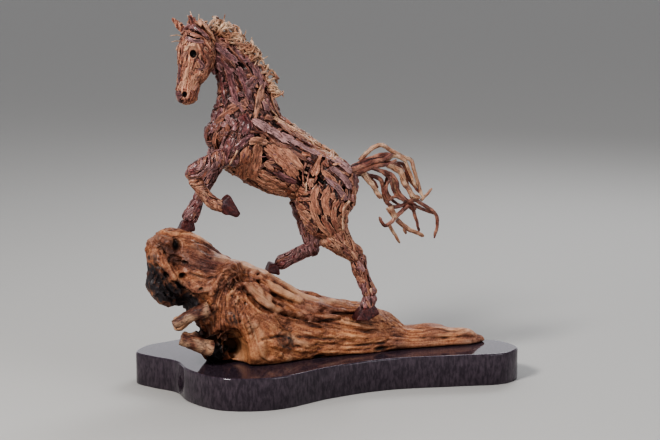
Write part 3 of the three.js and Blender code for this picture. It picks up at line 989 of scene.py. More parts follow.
class FlakeLayer:
    """Flakes of wood glued to a surface, gathered into one mesh for each finish."""

    root_depth = 1.2  # how far a flake's edge goes below the surface
    row_mm = 1.9  # how far apart its points are along the fibres
    column_mm = 1.6
    least_mm = 0.3  # how far its face stays over the surface
    # painted shade on the wall under each flake's edge
    painted_wall_shade = 0.8
    # painted highlight along each flake's edge
    painted_edge_highlight = 0.3
    sharp_edge = math.radians(32)

    def __init__(self, surface: Surface) -> None:
        """Start an empty layer.

        Args:
            surface: What the flakes are glued to.
        """
        self.surface = surface
        self.noise = Noise(11)
        self.stock: dict[Slot, dict[str, list]] = {}

    def wave(self, values: Array, seed: float) -> Array:
        """Seeded noise along a line of values."""
        spots = np.stack((values, np.full_like(values, seed * 7.31), values * 0), axis=1)
        return self.noise.at(spots + 0.37, 1.0)

    def ragged(self, values: Array, pace: float, seed: float) -> Array:
        """A broken edge: broad bends with finer teeth on them."""
        return 0.26 * self.wave(values * pace, seed) + 0.14 * self.wave(values * pace * 3.1, seed + 0.1)

    def lay(self, flake: Flake) -> None:
        """Build one flake: a ridged face on a grid, a wall down to the surface and a floor.

        Args:
            flake: The flake.
        """
        length = length_of(flake.route)
        rows = int(np.clip(length / self.row_mm, 5, 34))
        cols = int(np.clip(flake.width / self.column_mm, 3, 16)) + 1
        line = smooth_path(flake.route, rows)
        runs = unit(np.gradient(line, axis=0))
        s, t = np.linspace(-1, 1, rows), np.linspace(-1, 1, cols)
        half = flake.width / 2 * (1 - np.abs(s) ** (3 if flake.domed else 9) * 0.55)
        half = half * (1 - flake.point * (s + 1) / 2.3)
        sides = [half * (1 + self.ragged(s, 2.6, flake.seed + k)) for k in (0.2, 0.7)]
        jag = 0.42 * length * self.ragged(t, 2.1, flake.seed + 0.4)
        across = np.where(t[None] < 0, sides[0][:, None], sides[1][:, None]) * t[None]
        along = s[:, None] * length / 2 + jag[None] * np.abs(s[:, None]) ** 4
        ridges, tall = self.relief(flake, along, across, s[:, None], t[None])
        tops, feet = [], []
        for i in range(rows):
            side = unit(np.cross(self.surface.nearest(line[i])[1], runs[i]))
            for j in range(cols):
                shift = jag[j] * abs(s[i]) ** 4
                spot = line[i] + side * across[i, j] + runs[i] * shift
                foot, up = self.surface.nearest(spot)
                tops.append(foot + up * tall[i, j])
                feet.append(foot - up * self.root_depth)
        self.store(flake, np.array(tops), np.array(feet), along, across, ridges)

    def relief(
        self, flake: Flake, along: Array, across: Array, s: Array, t: Array
    ) -> tuple[Array, Array]:
        """Shape a flake's face: ridges along its fibres, lumps and a slight tilt.

        Args:
            flake: The flake.
            along: How far each point is along the fibres, as a grid.
            across: How far each is across them.
            s: How far along each row is, from -1 to 1.
            t: How far across each column is.

        Returns:
            How ridged each point is, and its height over the surface.
        """
        grid = np.stack((along / 9, across, np.full_like(across, flake.seed * 3.7)), axis=-1)
        ridges = self.noise.at(grid.reshape(-1, 3), 1.9).reshape(across.shape)
        grid[..., 0] *= 3.5
        lumps = self.noise.at(grid.reshape(-1, 3), 5.0).reshape(across.shape)
        swell = 1 - 0.25 * t**6 - 0.2 * np.abs(s) ** 12
        if flake.domed:
            swell = 1.15 - 0.8 * t**2 - 0.4 * s**2
        tilt = 0.6 * flake.thick * self.wave(np.array([0.3, 0.8]), flake.seed)
        tall = flake.lift + flake.thick * swell + tilt[0] * s + tilt[1] * t
        tall = tall + ridges * (0.3 + 0.12 * flake.thick) + lumps * 0.6 * flake.thick
        return ridges, np.maximum(tall, self.least_mm)

    def store(
        self, flake: Flake, tops: Array, feet: Array, along: Array, across: Array, ridges: Array
    ) -> None:
        """Add one flake's points, faces and marks to its finish's stock.

        Args:
            flake: The flake.
            tops: The points of its face, row by row.
            feet: The points under them.
            along: How far each is along the fibres, as a grid.
            across: How far each is across them.
            ridges: How ridged each is.
        """
        rows, cols = ridges.shape
        kinds = ("co", "faces", "grain", "tone", "low", "pale")
        stock = self.stock.setdefault(flake.slot, {kind: [] for kind in kinds})
        start = sum(len(part) for part in stock["co"])
        rim = list(range(cols))
        rim += [i * cols + cols - 1 for i in range(1, rows)]
        rim += [(rows - 1) * cols + j for j in range(cols - 2, -1, -1)]
        rim += [i * cols for i in range(rows - 2, 0, -1)]
        floor = feet[rim]
        middle = floor.mean(axis=0)
        stock["co"].append(np.vstack((tops, floor, middle)))
        for i, j in product(range(rows - 1), range(cols - 1)):
            a = start + i * cols + j
            stock["faces"].append((a, a + cols, a + cols + 1, a + 1))
        count = len(rim)
        wall = start + len(tops)
        for k in range(count):
            n = (k + 1) % count
            stock["faces"].append((start + rim[k], start + rim[n], wall + n, wall + k))
            stock["faces"].append((wall + k, wall + n, wall + count))
        places = np.stack((along, across, across * 0), axis=-1).reshape(-1, 3)
        places = np.vstack((places, places[rim], places[:1]))
        stock["grain"].append((places + flake.seed * 17.3) * MM)
        stock["tone"].append(np.full(len(places), flake.tone))
        edge = np.zeros(rows * cols)
        edge[rim] = 1
        # painted shade in the hollows between the face's ridges, with the flake's random darkening
        face_low = np.clip(-ridges.ravel() * 0.9 - 0.1 + flake.dark, 0, 0.75)
        stock["low"].append(np.concatenate((face_low * (1 - edge), np.full(count + 1, self.painted_wall_shade))))
        # the flake's own bleaching, with a painted highlight on its edge and on its ridge crests
        pale = flake.pale + self.painted_edge_highlight * edge + np.clip(ridges.ravel(), 0, 1) * 0.2
        stock["pale"].append(np.concatenate((np.clip(pale, 0, 1), np.zeros(count + 1))))

    def pieces(self, name: str, finishes: Finishes) -> None:
        """Turn the stock into one piece for each finish.

        Args:
            name: How the pieces' names start.
            finishes: The object's materials.
        """
        for slot, stock in self.stock.items():
            mesh = bpy.data.meshes.new(name)
            mesh.from_pydata(to_world(np.vstack(stock["co"])), [], stock["faces"])
            for mark in ("tone", "low", "pale"):
                write_mark(mesh, mark, np.concatenate(stock[mark]))
            attribute = mesh.attributes.new("grain", "FLOAT_VECTOR", "POINT")
            attribute.data.foreach_set("vector", np.vstack(stock["grain"]).astype(np.float32).ravel())
            mesh.shade_smooth()
            mesh.set_sharp_from_angle(angle=self.sharp_edge)
            tint = slot.value.split("_")[0]
            add_piece(f"{name}_{tint}", mesh, finishes.of(slot, Grain.STRAIGHT))


# Rootlets


@dataclass(frozen=True)
class Rootlet:
    """One round root along a route, with its radius at each end, in bench millimetres."""

    route: Array
    thick: float
    thin: float
    blunt: bool = False  # broken off square, and not worn to a tip


@dataclass
class RootletBundle:
    """Round roots that follow their own paths. Geometry Nodes gives them section, bends and knobs."""

    name: str
    slot: Slot
    sides: int = 7
    wobble_mm: float = 1.2
    knobs_mm: float = 0.8
    spacing_mm: float = 2.6
    tone: float = 0.0
    char_and_shade_share: float = 0.0
    bend_mm: float = 13.0  # how long a bend is
    knob_mm: float = 5.5
    rootlets: list[Rootlet] = field(default_factory=list)

    def tree(self) -> bpy.types.NodeTree:
        """Build the node tree that all bundles share, or find it.

        Returns:
            The tree. Its inputs are named for the sizes that they take.
        """
        made = bpy.data.node_groups.get("rootlets")
        if made:
            return made
        made = bpy.data.node_groups.new("rootlets", "GeometryNodeTree")
        sockets = {"Geometry": "Geometry", "Sides": "Int", "Wobble": "Float", "Knobs": "Float"}
        sockets |= {"Girth": "Float", "Finish": "Material"}
        for name, kind in sockets.items():
            made.interface.new_socket(name, in_out="INPUT", socket_type=f"NodeSocket{kind}")
        made.interface.new_socket("Geometry", in_out="OUTPUT", socket_type="NodeSocketGeometry")
        given = add_node(made, "NodeGroupInput")
        bends = {"Scale": 1 / self.bend_mm / MM, "Detail": 2.0}
        lean = {0: add_node(made, NOISE, bends)["Color"], 1: (0.5, 0.5, 0.5)}
        lean = add_node(made, VECTOR_MATH, lean, operation="SUBTRACT")[0]
        lean = {0: lean, "Scale": given["Wobble"]}
        lean = add_node(made, VECTOR_MATH, lean, operation="SCALE")[0]
        bent = {"Geometry": given["Geometry"], "Offset": lean}
        line = add_node(made, "GeometryNodeSetPosition", bent)[0]
        along = add_node(made, "GeometryNodeSplineParameter")["Length"]
        kept = {"Geometry": line, "Name": "along", "Value": along}
        line = add_node(made, "GeometryNodeStoreNamedAttribute", kept, domain="POINT")[0]
        ring = {"Resolution": given["Sides"], "Radius": 1.0}
        ring = add_node(made, "GeometryNodeCurvePrimitiveCircle", ring)["Curve"]
        around = add_node(made, "GeometryNodeSplineParameter")["Factor"]
        kept = {"Geometry": ring, "Name": "around", "Value": around}
        ring = add_node(made, "GeometryNodeStoreNamedAttribute", kept, domain="POINT")[0]
        radius = add_node(made, "GeometryNodeInputRadius")[0]
        swept = {"Curve": line, "Profile Curve": ring, "Scale": radius, "Fill Caps": True}
        tube = add_node(made, "GeometryNodeCurveToMesh", swept)["Mesh"]
        along, around = (
            add_node(made, "GeometryNodeInputNamedAttribute", {"Name": name})[0]
            for name in ("along", "around")
        )
        around = add_node(made, MATH, (around, given["Girth"]), operation="MULTIPLY")[0]
        run = add_node(made, "ShaderNodeCombineXYZ", {"X": along, "Y": around})[0]
        kept = {"Geometry": tube, "Name": "grain", "Value": run}
        settings = {"data_type": "FLOAT_VECTOR", "domain": "POINT"}
        tube = add_node(made, "GeometryNodeStoreNamedAttribute", kept, **settings)[0]
        normal = add_node(made, "GeometryNodeInputNormal")[0]
        knobs = {"Scale": 1 / self.knob_mm / MM, "Detail": 2.0}
        knob = add_node(made, NOISE, knobs)["Fac"]
        knob = add_node(made, MATH, (knob, 0.45), operation="SUBTRACT")[0]
        knob = add_node(made, MATH, (knob, given["Knobs"]), operation="MULTIPLY")[0]
        knob = {0: normal, "Scale": knob}
        knob = add_node(made, VECTOR_MATH, knob, operation="SCALE")[0]
        raised = {"Geometry": tube, "Offset": knob}
        tube = add_node(made, "GeometryNodeSetPosition", raised)[0]
        solid = add_node(made, "GeometryNodeRealizeInstances", {"Geometry": tube})[0]
        dressed = {"Geometry": solid, "Material": given["Finish"]}
        result = add_node(made, "GeometryNodeSetMaterial", dressed)[0]
        add_node(made, "NodeGroupOutput", {"Geometry": result})
        return made

    def piece(self, finishes: Finishes, nodes: Sequence[str] = ()) -> None:
        """Build the bundle and put it on the root body.

        Args:
            finishes: The object's materials.
            nodes: The frame's nodes that the bundle stands for.
        """
        curve = bpy.data.curves.new(self.name, "CURVE")
        curve.dimensions = "3D"
        for rootlet in self.rootlets:
            count = max(5, round(length_of(rootlet.route) / self.spacing_mm))
            points = to_world(smooth_path(rootlet.route, count))
            spline = curve.splines.new("POLY")
            spline.points.add(count - 1)
            spline.points.foreach_set("co", np.c_[points, np.ones(count)].ravel())
            share = np.linspace(0, 1, count)
            girth = rootlet.thick + (rootlet.thin - rootlet.thick) * share**1.3
            if not rootlet.blunt:
                girth = girth * np.minimum(1, 0.45 + (1 - share) * 9)
            spline.points.foreach_set("radius", girth * MM)
        maker = add_object("maker", curve)
        modifier = maker.modifiers.new("rootlets", "NODES")
        modifier.node_group = self.tree()
        finish = finishes.of(self.slot, Grain.STRAIGHT)
        wanted = {
            "Sides": self.sides,
            "Wobble": self.wobble_mm * MM * 2,
            "Knobs": self.knobs_mm * MM * 2,
            "Girth": math.tau * np.mean([rootlet.thick for rootlet in self.rootlets]) * MM,
            "Finish": finish,
        }
        for item in modifier.node_group.interface.items_tree:
            if item.name in wanted:
                modifier[item.identifier] = wanted[item.name]
        ready = maker.evaluated_get(bpy.context.evaluated_depsgraph_get())
        mesh = bpy.data.meshes.new_from_object(ready)
        bpy.data.objects.remove(maker)
        mesh.shade_smooth()
        rng = np.random.default_rng(len(self.name))
        points = read_points(mesh) / MM
        tones = Noise(5).at(points, 20.0) * 0.5 + rng.normal(0.5 + self.tone, 0.08, len(points))
        # painted sheen along the rootlets
        sheen = np.clip(Noise(6).at(points, 15.0) * 0.7 + 0.22, 0, 0.65)
        char_and_shade = np.full(len(sheen), self.char_and_shade_share)
        for mark, values in (("tone", np.clip(tones, 0, 1)), ("pale", sheen), ("char_and_shade", char_and_shade)):
            write_mark(mesh, mark, values)
        add_piece(self.name, mesh, finish, nodes)


# Plinth


@dataclass
class Plinth:
    """The stone slab: the frame's outline, smoothed, with a finely rounded top edge."""

    samples: int = 420
    edge_mm: float = 3.0
    arc_steps: int = 6
    read_at_mm: float = 2.5  # how high over the underside the outline is read

    def outline(self) -> tuple[Array, float, float]:
        """Find the slab's side in the frame's node.

        Returns:
            A smooth closed line, in millimetres, and the slab's lowest and highest z.
        """
        mesh = frame["nodes"]["plinth"].data
        places = read_points(mesh) / MM
        low, high = places[:, 2].min(), places[:, 2].max()
        ring = places[np.abs(places[:, 2] - low - self.read_at_mm) < 0.6][:, :2]
        ring = np.unique(np.round(ring, 2), axis=0)
        left = list(range(1, len(ring)))
        order = [0]
        while left:
            gaps = [np.linalg.norm(ring[k] - ring[order[-1]]) for k in left]
            order.append(left.pop(int(np.argmin(gaps))))
        loop = ring[order]
        area = np.sum(loop[:, 0] * np.roll(loop[:, 1], -1) - np.roll(loop[:, 0], -1) * loop[:, 1])
        loop = loop if area > 0 else loop[::-1]
        wrapped = np.vstack((loop[-3:], loop, loop[:4]))
        fine = smooth_path(np.c_[wrapped, np.zeros(len(wrapped))], self.samples * 2)
        start = np.argmin(np.linalg.norm(fine[: self.samples // 4, :2] - loop[0], axis=1))
        stop = len(fine) // 2 + np.argmin(np.linalg.norm(fine[len(fine) // 2 :, :2] - loop[0], axis=1))
        ring3 = smooth_path(fine[start : stop + 1], self.samples + 1)[:-1]
        return ring3[:, :2], low, high

    def build(self, finishes: Finishes) -> None:
        """Build the slab.

        Args:
            finishes: The object's materials.
        """
        line, low, high = self.outline()
        run = unit(np.roll(line, -1, axis=0) - np.roll(line, 1, axis=0))
        inward = np.stack((-run[:, 1], run[:, 0]), axis=1)
        levels = [(self.edge_mm * 0.5, low), (0.0, low + self.edge_mm * 0.5)]
        for k in range(self.arc_steps + 1):
            angle = math.pi / 2 * k / self.arc_steps
            inset = self.edge_mm * (1 - math.cos(angle))
            levels.append((inset, high - self.edge_mm * (1 - math.sin(angle))))
        shell = bmesh.new()
        rings = []
        for inset, z in levels:
            spots = line + inward * inset
            rings.append([shell.verts.new((x * MM, y * MM, z * MM)) for x, y in spots])
        for below, above in zip(rings, rings[1:]):
            for k in range(self.samples):
                n = (k + 1) % self.samples
                shell.faces.new((below[k], below[n], above[n], above[k])).smooth = True
        shell.faces.new(rings[-1])
        shell.faces.new(rings[0][::-1])
        mesh = bpy.data.meshes.new("plinth_slab")
        shell.to_mesh(mesh)
        shell.free()
        add_piece("plinth_slab", mesh, finishes.stone, ["plinth"])


# Root


@dataclass
class RootBase:
    """The stump under the horse, with painted shade in its hollows. Its grooves, knots and scorch marks
    are traced in the photograph.
    """

    flow_side: float = -30.0  # the bench plane that the flow is traced on
    settle_mm: float = 16.0  # over this height the root smooths out to the plinth
    back_shift: tuple = (22.0, 14.0, 6.0)  # where the copy of a crevice lies on the far side
    # parts with a surface of their own: pixel, half width and half height in pixels
    smooth_part: tuple = ((250, 348), 20, 19)
    fine_part: tuple = ((440, 335), 56, 30)
    rough_part: tuple = ((165, 262), 26, 32)
    # lines along the fibres
    flow: tuple = read_rows(
        """
        160,235 185,245 215,258 250,268 285,290 320,308 360,318
        147,240 150,270 164,300 185,318
        160,242 166,270 180,298 196,315
        172,250 192,266 222,268 250,272
        185,285 205,290 222,283
        228,262 245,280 270,304 310,322 360,332 420,337 480,332
        255,268 275,292 305,305 345,313 378,318
        236,288 252,308 285,320 335,326
        222,268 213,290 208,320 214,350 222,364
        232,292 242,325 250,360
        262,318 285,338 310,345 350,347 390,345 430,345 470,340
        262,345 300,352 340,355 375,352
        206,308 190,318 172,325
        210,348 195,340 180,335
        """
    )
    # half width and depth in millimetres; each takes painted shade inside, and so does its copy on the
    # far side
    crevices: tuple = read_rows(
        """
        3 8 257,275 262,287 275,295 290,301 306,306 322,311
        3 7 318,310 332,313 346,314 360,312
        3.2 8 241,284 250,296 262,308 280,313 296,317
        2.8 6.5 290,316 306,320 322,321 340,319
        2.4 5 249,272 254,284 266,298 284,307
        2.6 4.5 208,255 218,259 230,262
        2.2 4 262,270 276,284 296,295 318,302
        2.4 5 228,289 237,290 247,286
        1.8 4 247,320 249,329 250,336
        2.4 4 300,323 325,327 352,330 376,333
        2.2 3.5 345,320 360,322 372,324
        1.8 2.4 372,330 400,336 440,338 470,336
        1.8 2.2 392,326 420,328 450,331 478,332
        2 2.8 262,340 285,336 315,338 350,341
        1.8 2.6 296,346 320,344 350,346 385,343
        3.4 6 156,266 168,276 182,286 198,295
        2.4 4 152,274 158,292 172,306
        2.4 4 160,276 168,292 184,310
        2.2 3.5 172,284 182,297 196,309
        2.4 4 222,280 217,292 213,304
        2 3 232,296 238,310 240,322
        2 2.6 184,262 198,268 212,270
        2 2.6 190,274 204,278 216,277
        """
    )
    # half width and height in millimetres
    ridges: tuple = read_rows(
        """
        4.5 5 226,270 238,264 251,268 262,281 276,291 300,299
        6.5 6.5 228,268 220,276 215,290 210,306 207,322
        3.5 4 247,290 260,302 282,310 306,315 340,317
        3.5 3.5 310,298 335,301 354,306
        4.5 3.5 148,262 146,246 154,232 170,228 184,234
        4.5 6.5 149,262 160,271 178,281 196,290 207,290
        5 2 232,344 238,336 246,342
        3 2 270,345 300,350 340,353 372,352
        """
    )
    # half width and depth in millimetres, and how dark the painted shade inside it is
    hollows: tuple = read_rows(
        """
        13 34 2 222,341 229,347 230,355 225,366
        12 24 2 212,345 215,355 215,367
        17 11 0 150,276 162,292 182,304
        13 15 0.4 160,243 170,250 180,262
        8.5 13 0.5 247,277 239,280 231,286
        3.6 8 0.9 225,292 228,282 235,275 246,271
        7 4 0 298,291 325,303 352,311
        7 4 0 292,323 330,328 370,332
        6 4 0 262,322 268,340 270,356
        5 8 0.9 204,334 198,332 190,333
        12 4 0 190,250 206,258 222,262
        """
    )
    # radius at each end in millimetres, and bench plane
    stubs: tuple = read_rows(
        """
        13 7.5 -48 209,309 198,313 186,318 174,325
        14 10.5 -44 211,348 202,346 192,342 181,339
        """
    )
    # half width, half height and depth in millimetres, and how dark the painted shade inside it is
    holes: tuple = read_rows(
        """
        7 9 15 1 177,246
        6.5 4.5 9 1 182.5,276
        5 3 6 0.9 201,289
        12 4 6 1 381,349
        12 3.5 5 1 319,356.5
        4 5 5 0.8 170,261
        2 3 3 0.8 246,304
        """
    )
    # radius and height in millimetres
    knots: tuple = read_rows(
        """
        9 3 230,318
        5.5 1.8 248,325
        8 2.4 213,308
        14 2.5 284,338
        5 2 290,329
        """
    )
    # half width and half height in pixels, and strength; all are scorch marks except the one at 215,354,
    # which is painted shade inside the arch
    burns_and_shade: tuple = read_rows(
        """
        11 11 0.6 166,246
        8 10 0.75 176,249
        6 8 0.6 154,262
        13 18 1 156,282
        17 14 1.1 170,295
        19 13 1.1 188,305
        10 9 0.8 200,318
        12 4 0.5 207,262
        26 10 0.42 204,254
        9 12 1.4 215,354
        7 9 0.6 230,317
        7 6 0.5 214,309
        4 8 0.45 249,327
        10 11 0.62 286,340
        9 8 0.7 203,338
        6 12 0.4 208,324
        10 4 0.4 372,308
        """
    )
    # half width and half height in pixels, and change of tone
    tints: tuple = read_rows(
        """
        34 16 0.75 208,258
        14 22 0.25 222,300
        40 12 0.2 320,318
        40 11 -0.6 335,345
        24 22 -0.8 250,350
        50 14 0.1 430,335
        10 14 0.35 152,244
        18 7 -0.1 165,228
        20 10 -0.25 290,290
        22 20 0.4 195,330
        """
    )

    def build(self, finishes: Finishes) -> None:
        """Build the stump.

        Args:
            finishes: The object's materials.
        """
        grain = GrainField(self.flow, self.flow_side)
        mesh = grown(["root_base"], cell=4.0, smooth=9, swell=0.8)
        skin = Skin(mesh, grain)
        surface = Surface(mesh, grain)
        smooth = np.exp(-(self.spread(skin.co, *self.smooth_part) ** 2))
        fine = np.clip(1.4 - self.spread(skin.co, *self.fine_part), 0, 1)
        calm = (1 - 0.8 * smooth) * (1 - 0.65 * fine)
        rough = np.clip(1.5 - self.spread(skin.co, *self.rough_part), 0, 1)
        broad = skin.comb(1, cell=23.0, reach=260.0)
        strands = skin.comb(2, cell=6.5, reach=120.0)
        fibres = skin.comb(3, cell=2.6, reach=60.0)
        lumps = Noise(4).at(skin.co, cell=42.0)
        mottle = Noise(6).at(skin.co, cell=8.0)
        heights = 3.1 * (np.abs(broad) - 0.8) + 0.45 * (np.abs(strands) - 0.8) + 0.12 * fibres
        heights = heights * (1 - 0.4 * rough) * calm + 4.5 * lumps + 2.0 * mottle * rough
        settled = np.clip((skin.co[:, 2] - PLINTH_TOP) / self.settle_mm, 0.1, 1)
        skin.push(np.clip(heights, -5, 5) * settled)
        self.carve(skin, surface)
        # painted shade in the valleys between the strands
        valley = np.clip(0.22 - np.abs(broad), 0, 1) * 1.1 + np.clip(0.2 - np.abs(strands), 0, 1) * 0.35
        skin.mark("low", valley * calm)
        for wide, tall, strength, (pixel,) in self.burns_and_shade:
            burn_and_shade = strength * np.clip(1.35 - self.spread(skin.co, pixel, wide, tall), 0, 0.85)
            skin.mark("char_and_shade", burn_and_shade + 0.13 * (strands + 0.6 * fibres) * (burn_and_shade > 0.05))
        # painted shade on faces that turn downwards, under the root's left part
        under = np.clip((-skin.normals[:, 2] - 0.35) * 1.2, 0, 0.8)
        skin.mark("char_and_shade", under * (skin.co[:, 0] < -120))
        # the painted shade round the crevices pulls the tone darker
        tones = 0.3 + 0.4 * lumps - 0.4 * smooth + 0.1 * broad + 0.35 * skin.painted_shade_halo
        for wide, tall, strength, (pixel,) in self.tints:
            tones += strength * np.clip(1.3 - self.spread(skin.co, pixel, wide, tall), 0, 1)
        streaks = (0.08 * fibres + 0.05 * strands + 0.05 * np.abs(broad)) * (1 - 0.7 * smooth)
        skin.marks["fibre"] = np.clip(0.5 + streaks + 0.1 * smooth, 0, 1)
        skin.marks["tone"] = np.clip(tones, 0, 1)
        # painted highlight on the highest ridges
        skin.mark("pale", np.clip(np.abs(broad) - 1.05, 0, 1) * 0.42 * calm * (1 - rough.clip(0, 1)))
        skin.co[:, 2] = np.maximum(skin.co[:, 2], PLINTH_TOP + 0.1)
        skin.refresh()
        skin_piece("weathered_root", skin, finishes, Slot.ROOT, ["root_base"])
        sizes = {"sides": 30, "wobble_mm": 1.2, "knobs_mm": 1.6, "spacing_mm": 1.6}
        stubs = RootletBundle("broken_stubs", Slot.ROOT, **sizes, tone=0.5, char_and_shade_share=0.36)
        for thick, thin, y, pixels in self.stubs:
            stubs.rootlets.append(Rootlet(VIEW.route(pixels, y), thick, thin, blunt=True))
        stubs.piece(finishes)

    def carve(self, skin: Skin, surface: Surface) -> None:
        """Cut the traced crevices, hollows and holes, and raise the ridges and knots.

        Args:
            skin: The skin.
            surface: The smooth surface that they are traced on.
        """
        for width, depth, pixels in self.crevices:
            route = surface.traced(pixels)
            crest = route + np.array((0.0, 0.0, 2.6 * width))
            mirror = route * (1, -1, 1) + self.back_shift
            skin.groove(crest, width * 1.9, -0.55 * depth, 0)
            skin.groove(route, width * 0.9, depth * 1.3, 1.0)
            skin.groove(mirror, width * 1.2, depth * 0.8, 0.7)
        for width, depth, dark, pixels in self.hollows:
            skin.groove(surface.traced(pixels), width, depth, dark)
        for width, height, pixels in self.ridges:
            skin.groove(surface.traced(pixels), width, -height, 0)
        for wide, tall, depth, dark, (pixel,) in self.holes:
            self.bore(skin, surface.seen_at(pixel), wide, tall, depth, dark)
        for radius, height, (pixel,) in self.knots:
            skin.knot(surface.seen_at(pixel), radius, height)
        skin.refresh()

    @staticmethod
    def spread(places: Array, pixel: Pixel, wide: float, tall: float) -> Array:
        """How far places are from a patch's middle, seen from the side.

        Args:
            places: Rows of x, y, z.
            pixel: The patch's middle.
            wide: Its half width in pixels.
            tall: Its half height in pixels.

        Returns:
            One share of the patch's half size for each place.
        """
        middle = VIEW.on_plane(pixel, NEAR_SIDE)
        x = (places[:, 0] - middle[0]) / (wide * VIEW.pixel_mm)
        z = (places[:, 2] - middle[2]) / (tall * VIEW.pixel_mm)
        return np.hypot(x, z)

    @staticmethod
    def bore(skin: Skin, middle: Array, wide: float, tall: float, depth: float, dark: float) -> None:
        """Sink a hole with painted shade inside and a slightly raised rim.

        Args:
            skin: The skin.
            middle: The hole's middle.
            wide: Its half width in millimetres.
            tall: Its half height.
            depth: Its depth.
            dark: How dark the painted shade inside it is.
        """
        away = np.hypot((skin.co[:, 0] - middle[0]) / wide, (skin.co[:, 2] - middle[2]) / tall)
        near = np.abs(skin.co[:, 1] - middle[1]) < 26
        shape = np.exp(-(away**4)) * near
        rim = np.exp(-(((away - 1.35) / 0.28) ** 2)) * near
        skin.co = skin.co + np.array((0.0, 1.0, 0.0)) * (shape * depth)[:, None]
        skin.co = skin.co + skin.normals * (rim * 0.9)[:, None]
        # painted shade inside the hole
        skin.mark("low", shape * dark)


# Horse

# Lines along the fibres
HORSE_FLOW = read_rows(
    """
    205,45 220,72 228,98 232,122
    212,30 232,52 252,82 268,112
    207,36 226,60 242,90 252,118
    240,40 262,70 277,98 283,114
    226,128 217,148 224,172
    214,112 208,130 208,148
    246,116 240,138 228,166
    268,116 300,138 330,155 352,168
    250,130 275,145 300,160 325,172
    240,168 262,180 292,193 314,199
    238,178 262,192 300,204
    262,152 284,166 300,182
    330,158 346,170 353,188 347,206
    322,166 316,196 322,228 336,244
    342,186 338,214 346,242
    312,200 326,232 350,260
    338,236 355,262 367,290 371,310
    234,172 210,178 194,184
    192,190 203,208 222,222
    346,173 358,167 372,161 392,156
    197,26 188,56 184,90 186,100
    206,46 206,66 196,88
    188,15 196,32 206,44
    """
)
FAR_LEG_FLOW = read_rows(
    """
    306,205 311,240 318,258
    322,262 300,272 280,282
    232,178 215,205 200,230 188,245
    """
)

# Flakes on the side that shows, each traced along its middle:
# slot, width, thickness, lift, tone, point, pale, route in pixels
BODY_FLAKES = read_rows(
    """
    tan 9 3 1.8 0.5 0.3 0.6 272,117 283,125 295,132
    tan 10 2.8 1.2 0.3 0.3 0.55 291,129 304,137 318,146
    umber 8 2.6 1.6 0.7 0.3 0.45 284,117 300,127 316,137
    tan 8 2.8 2 0.6 0.3 0.5 316,145 326,150 336,156
    umber 9 2.6 0.8 0.6 0.2 0.35 312,137 332,149 348,160
    plum 15 3 1.4 0.95 0.1 0.55 253,121 269,130 287,142
    plum 11 2.6 0.8 0.9 0.2 0.45 282,134 303,147 325,158
    umber 9 2.4 0.5 0.8 0.2 0.25 270,140 288,150 306,160
    tan 19 3.4 1.4 0.2 0 0.05 241,175 243,162 248,148
    tan 22 3.6 1.8 0.1 0 0.1 252,178 254,163 257,145
    tan 12 3 2.4 0.3 0.2 0.2 248,142 257,140 266,143
    tan 20 3.2 1 0.2 0.2 0.1 267,146 280,158 296,176
    tan 14 3 1.6 0.1 0.1 0.2 279,147 292,158 302,170
    tan 13 2.8 1.4 0.3 0.1 0.1 259,171 270,178 286,186
    umber 8 2 0.2 0.9 0.2 0.1 258,169 266,163 275,160
    plum 12 2.6 2.2 0.4 0.1 0 275,171 285,177 296,182
    tan 13 3 1 0.1 0.1 0.2 242,178 257,187 276,194
    tan 13 2.8 1.2 0.2 0.2 0.2 262,184 280,191 298,196
    tan 9 2.4 0.8 0.5 0.2 0 282,196 298,199 313,199
    tan 19 3.4 3 0 0.95 0.1 313,176 316,168 320,156
    tan 10 2.6 1.4 0.1 0.2 0.1 322,172 330,178 337,186
    plum 13 3.2 1.4 0.9 0.1 0.45 327,158 340,164 350,173
    plum 13 3.2 1.6 0.95 0.1 0.3 331,168 342,177 350,189
    plum 12 3 1 0.8 0.1 0.25 326,178 337,188 346,200
    tan 13 2.6 1.2 0.2 0.2 0.1 317,186 314,199 318,214
    tan 15 2.8 1.4 0.1 0.2 0.1 328,188 325,201 328,215
    tan 12 2.6 1 0.4 0.2 0 337,200 333,214 337,229
    tan 10 2.4 1.4 0.2 0.2 0.2 311,204 317,220 330,236
    tan 11 2.4 1 0.5 0.2 0 322,216 330,229 341,241
    umber 8 2.4 0.8 0.3 0.3 0.1 330,236 340,246 352,258
    plum 6 2.8 1 0.2 0.3 0 350,206 348,217 346,230
    pale 3.5 2.4 2.6 0.6 0.2 0.2 307,182 307,192
    plum 20 4.2 1.4 0.15 0 0 243,116 246,125 244,135
    plum 11 2.8 1 0.6 0.2 0 253,134 243,142 233,152
    plum 15 3 1.2 0.1 0.1 0 233,137 227,150 223,164
    umber 8 3 1.8 0 0.3 0.2 217,132 215,140 218,149
    umber 10 2.6 1 0.6 0.2 0 213,118 208,131 208,146
    plum 8 2.6 1.2 0.7 0.2 0 223,109 216,122 212,133
    umber 9 2.6 1.6 0.2 0.2 0.2 216,124 226,115 238,107
    umber 7 2.4 1.2 0.6 0.2 0.3 228,108 236,105 246,109
    tan 12 3 1.6 0.9 0.3 0.2 262,86 258,102 255,119
    tan 8 2.6 1.2 0.6 0.3 0.1 270,92 273,105 279,117
    plum 12 3 1.2 0.9 0.2 0.1 250,60 256,74 263,90
    plum 12 2.8 1 0.7 0.2 0 238,68 245,84 250,101
    plum 11 2.6 1 0.5 0.2 0 228,67 232,84 236,101
    plum 8 2.4 0.8 0.1 0.2 0 220,71 223,88 225,105
    plum 12 2.8 1.2 0.9 0.2 0.1 212,42 224,52 237,63
    umber 10 2.6 1.4 0.7 0.2 0.2 206,33 217,42 229,48
    plum 9 2.4 0.8 0.6 0.2 0 216,57 225,65 233,74
    plum 10 2.6 1 0.8 0.2 0.1 241,46 250,57 258,68
    plum 9 3 1.4 0.4 0.2 0.2 230,98 238,104 244,112
    """
)
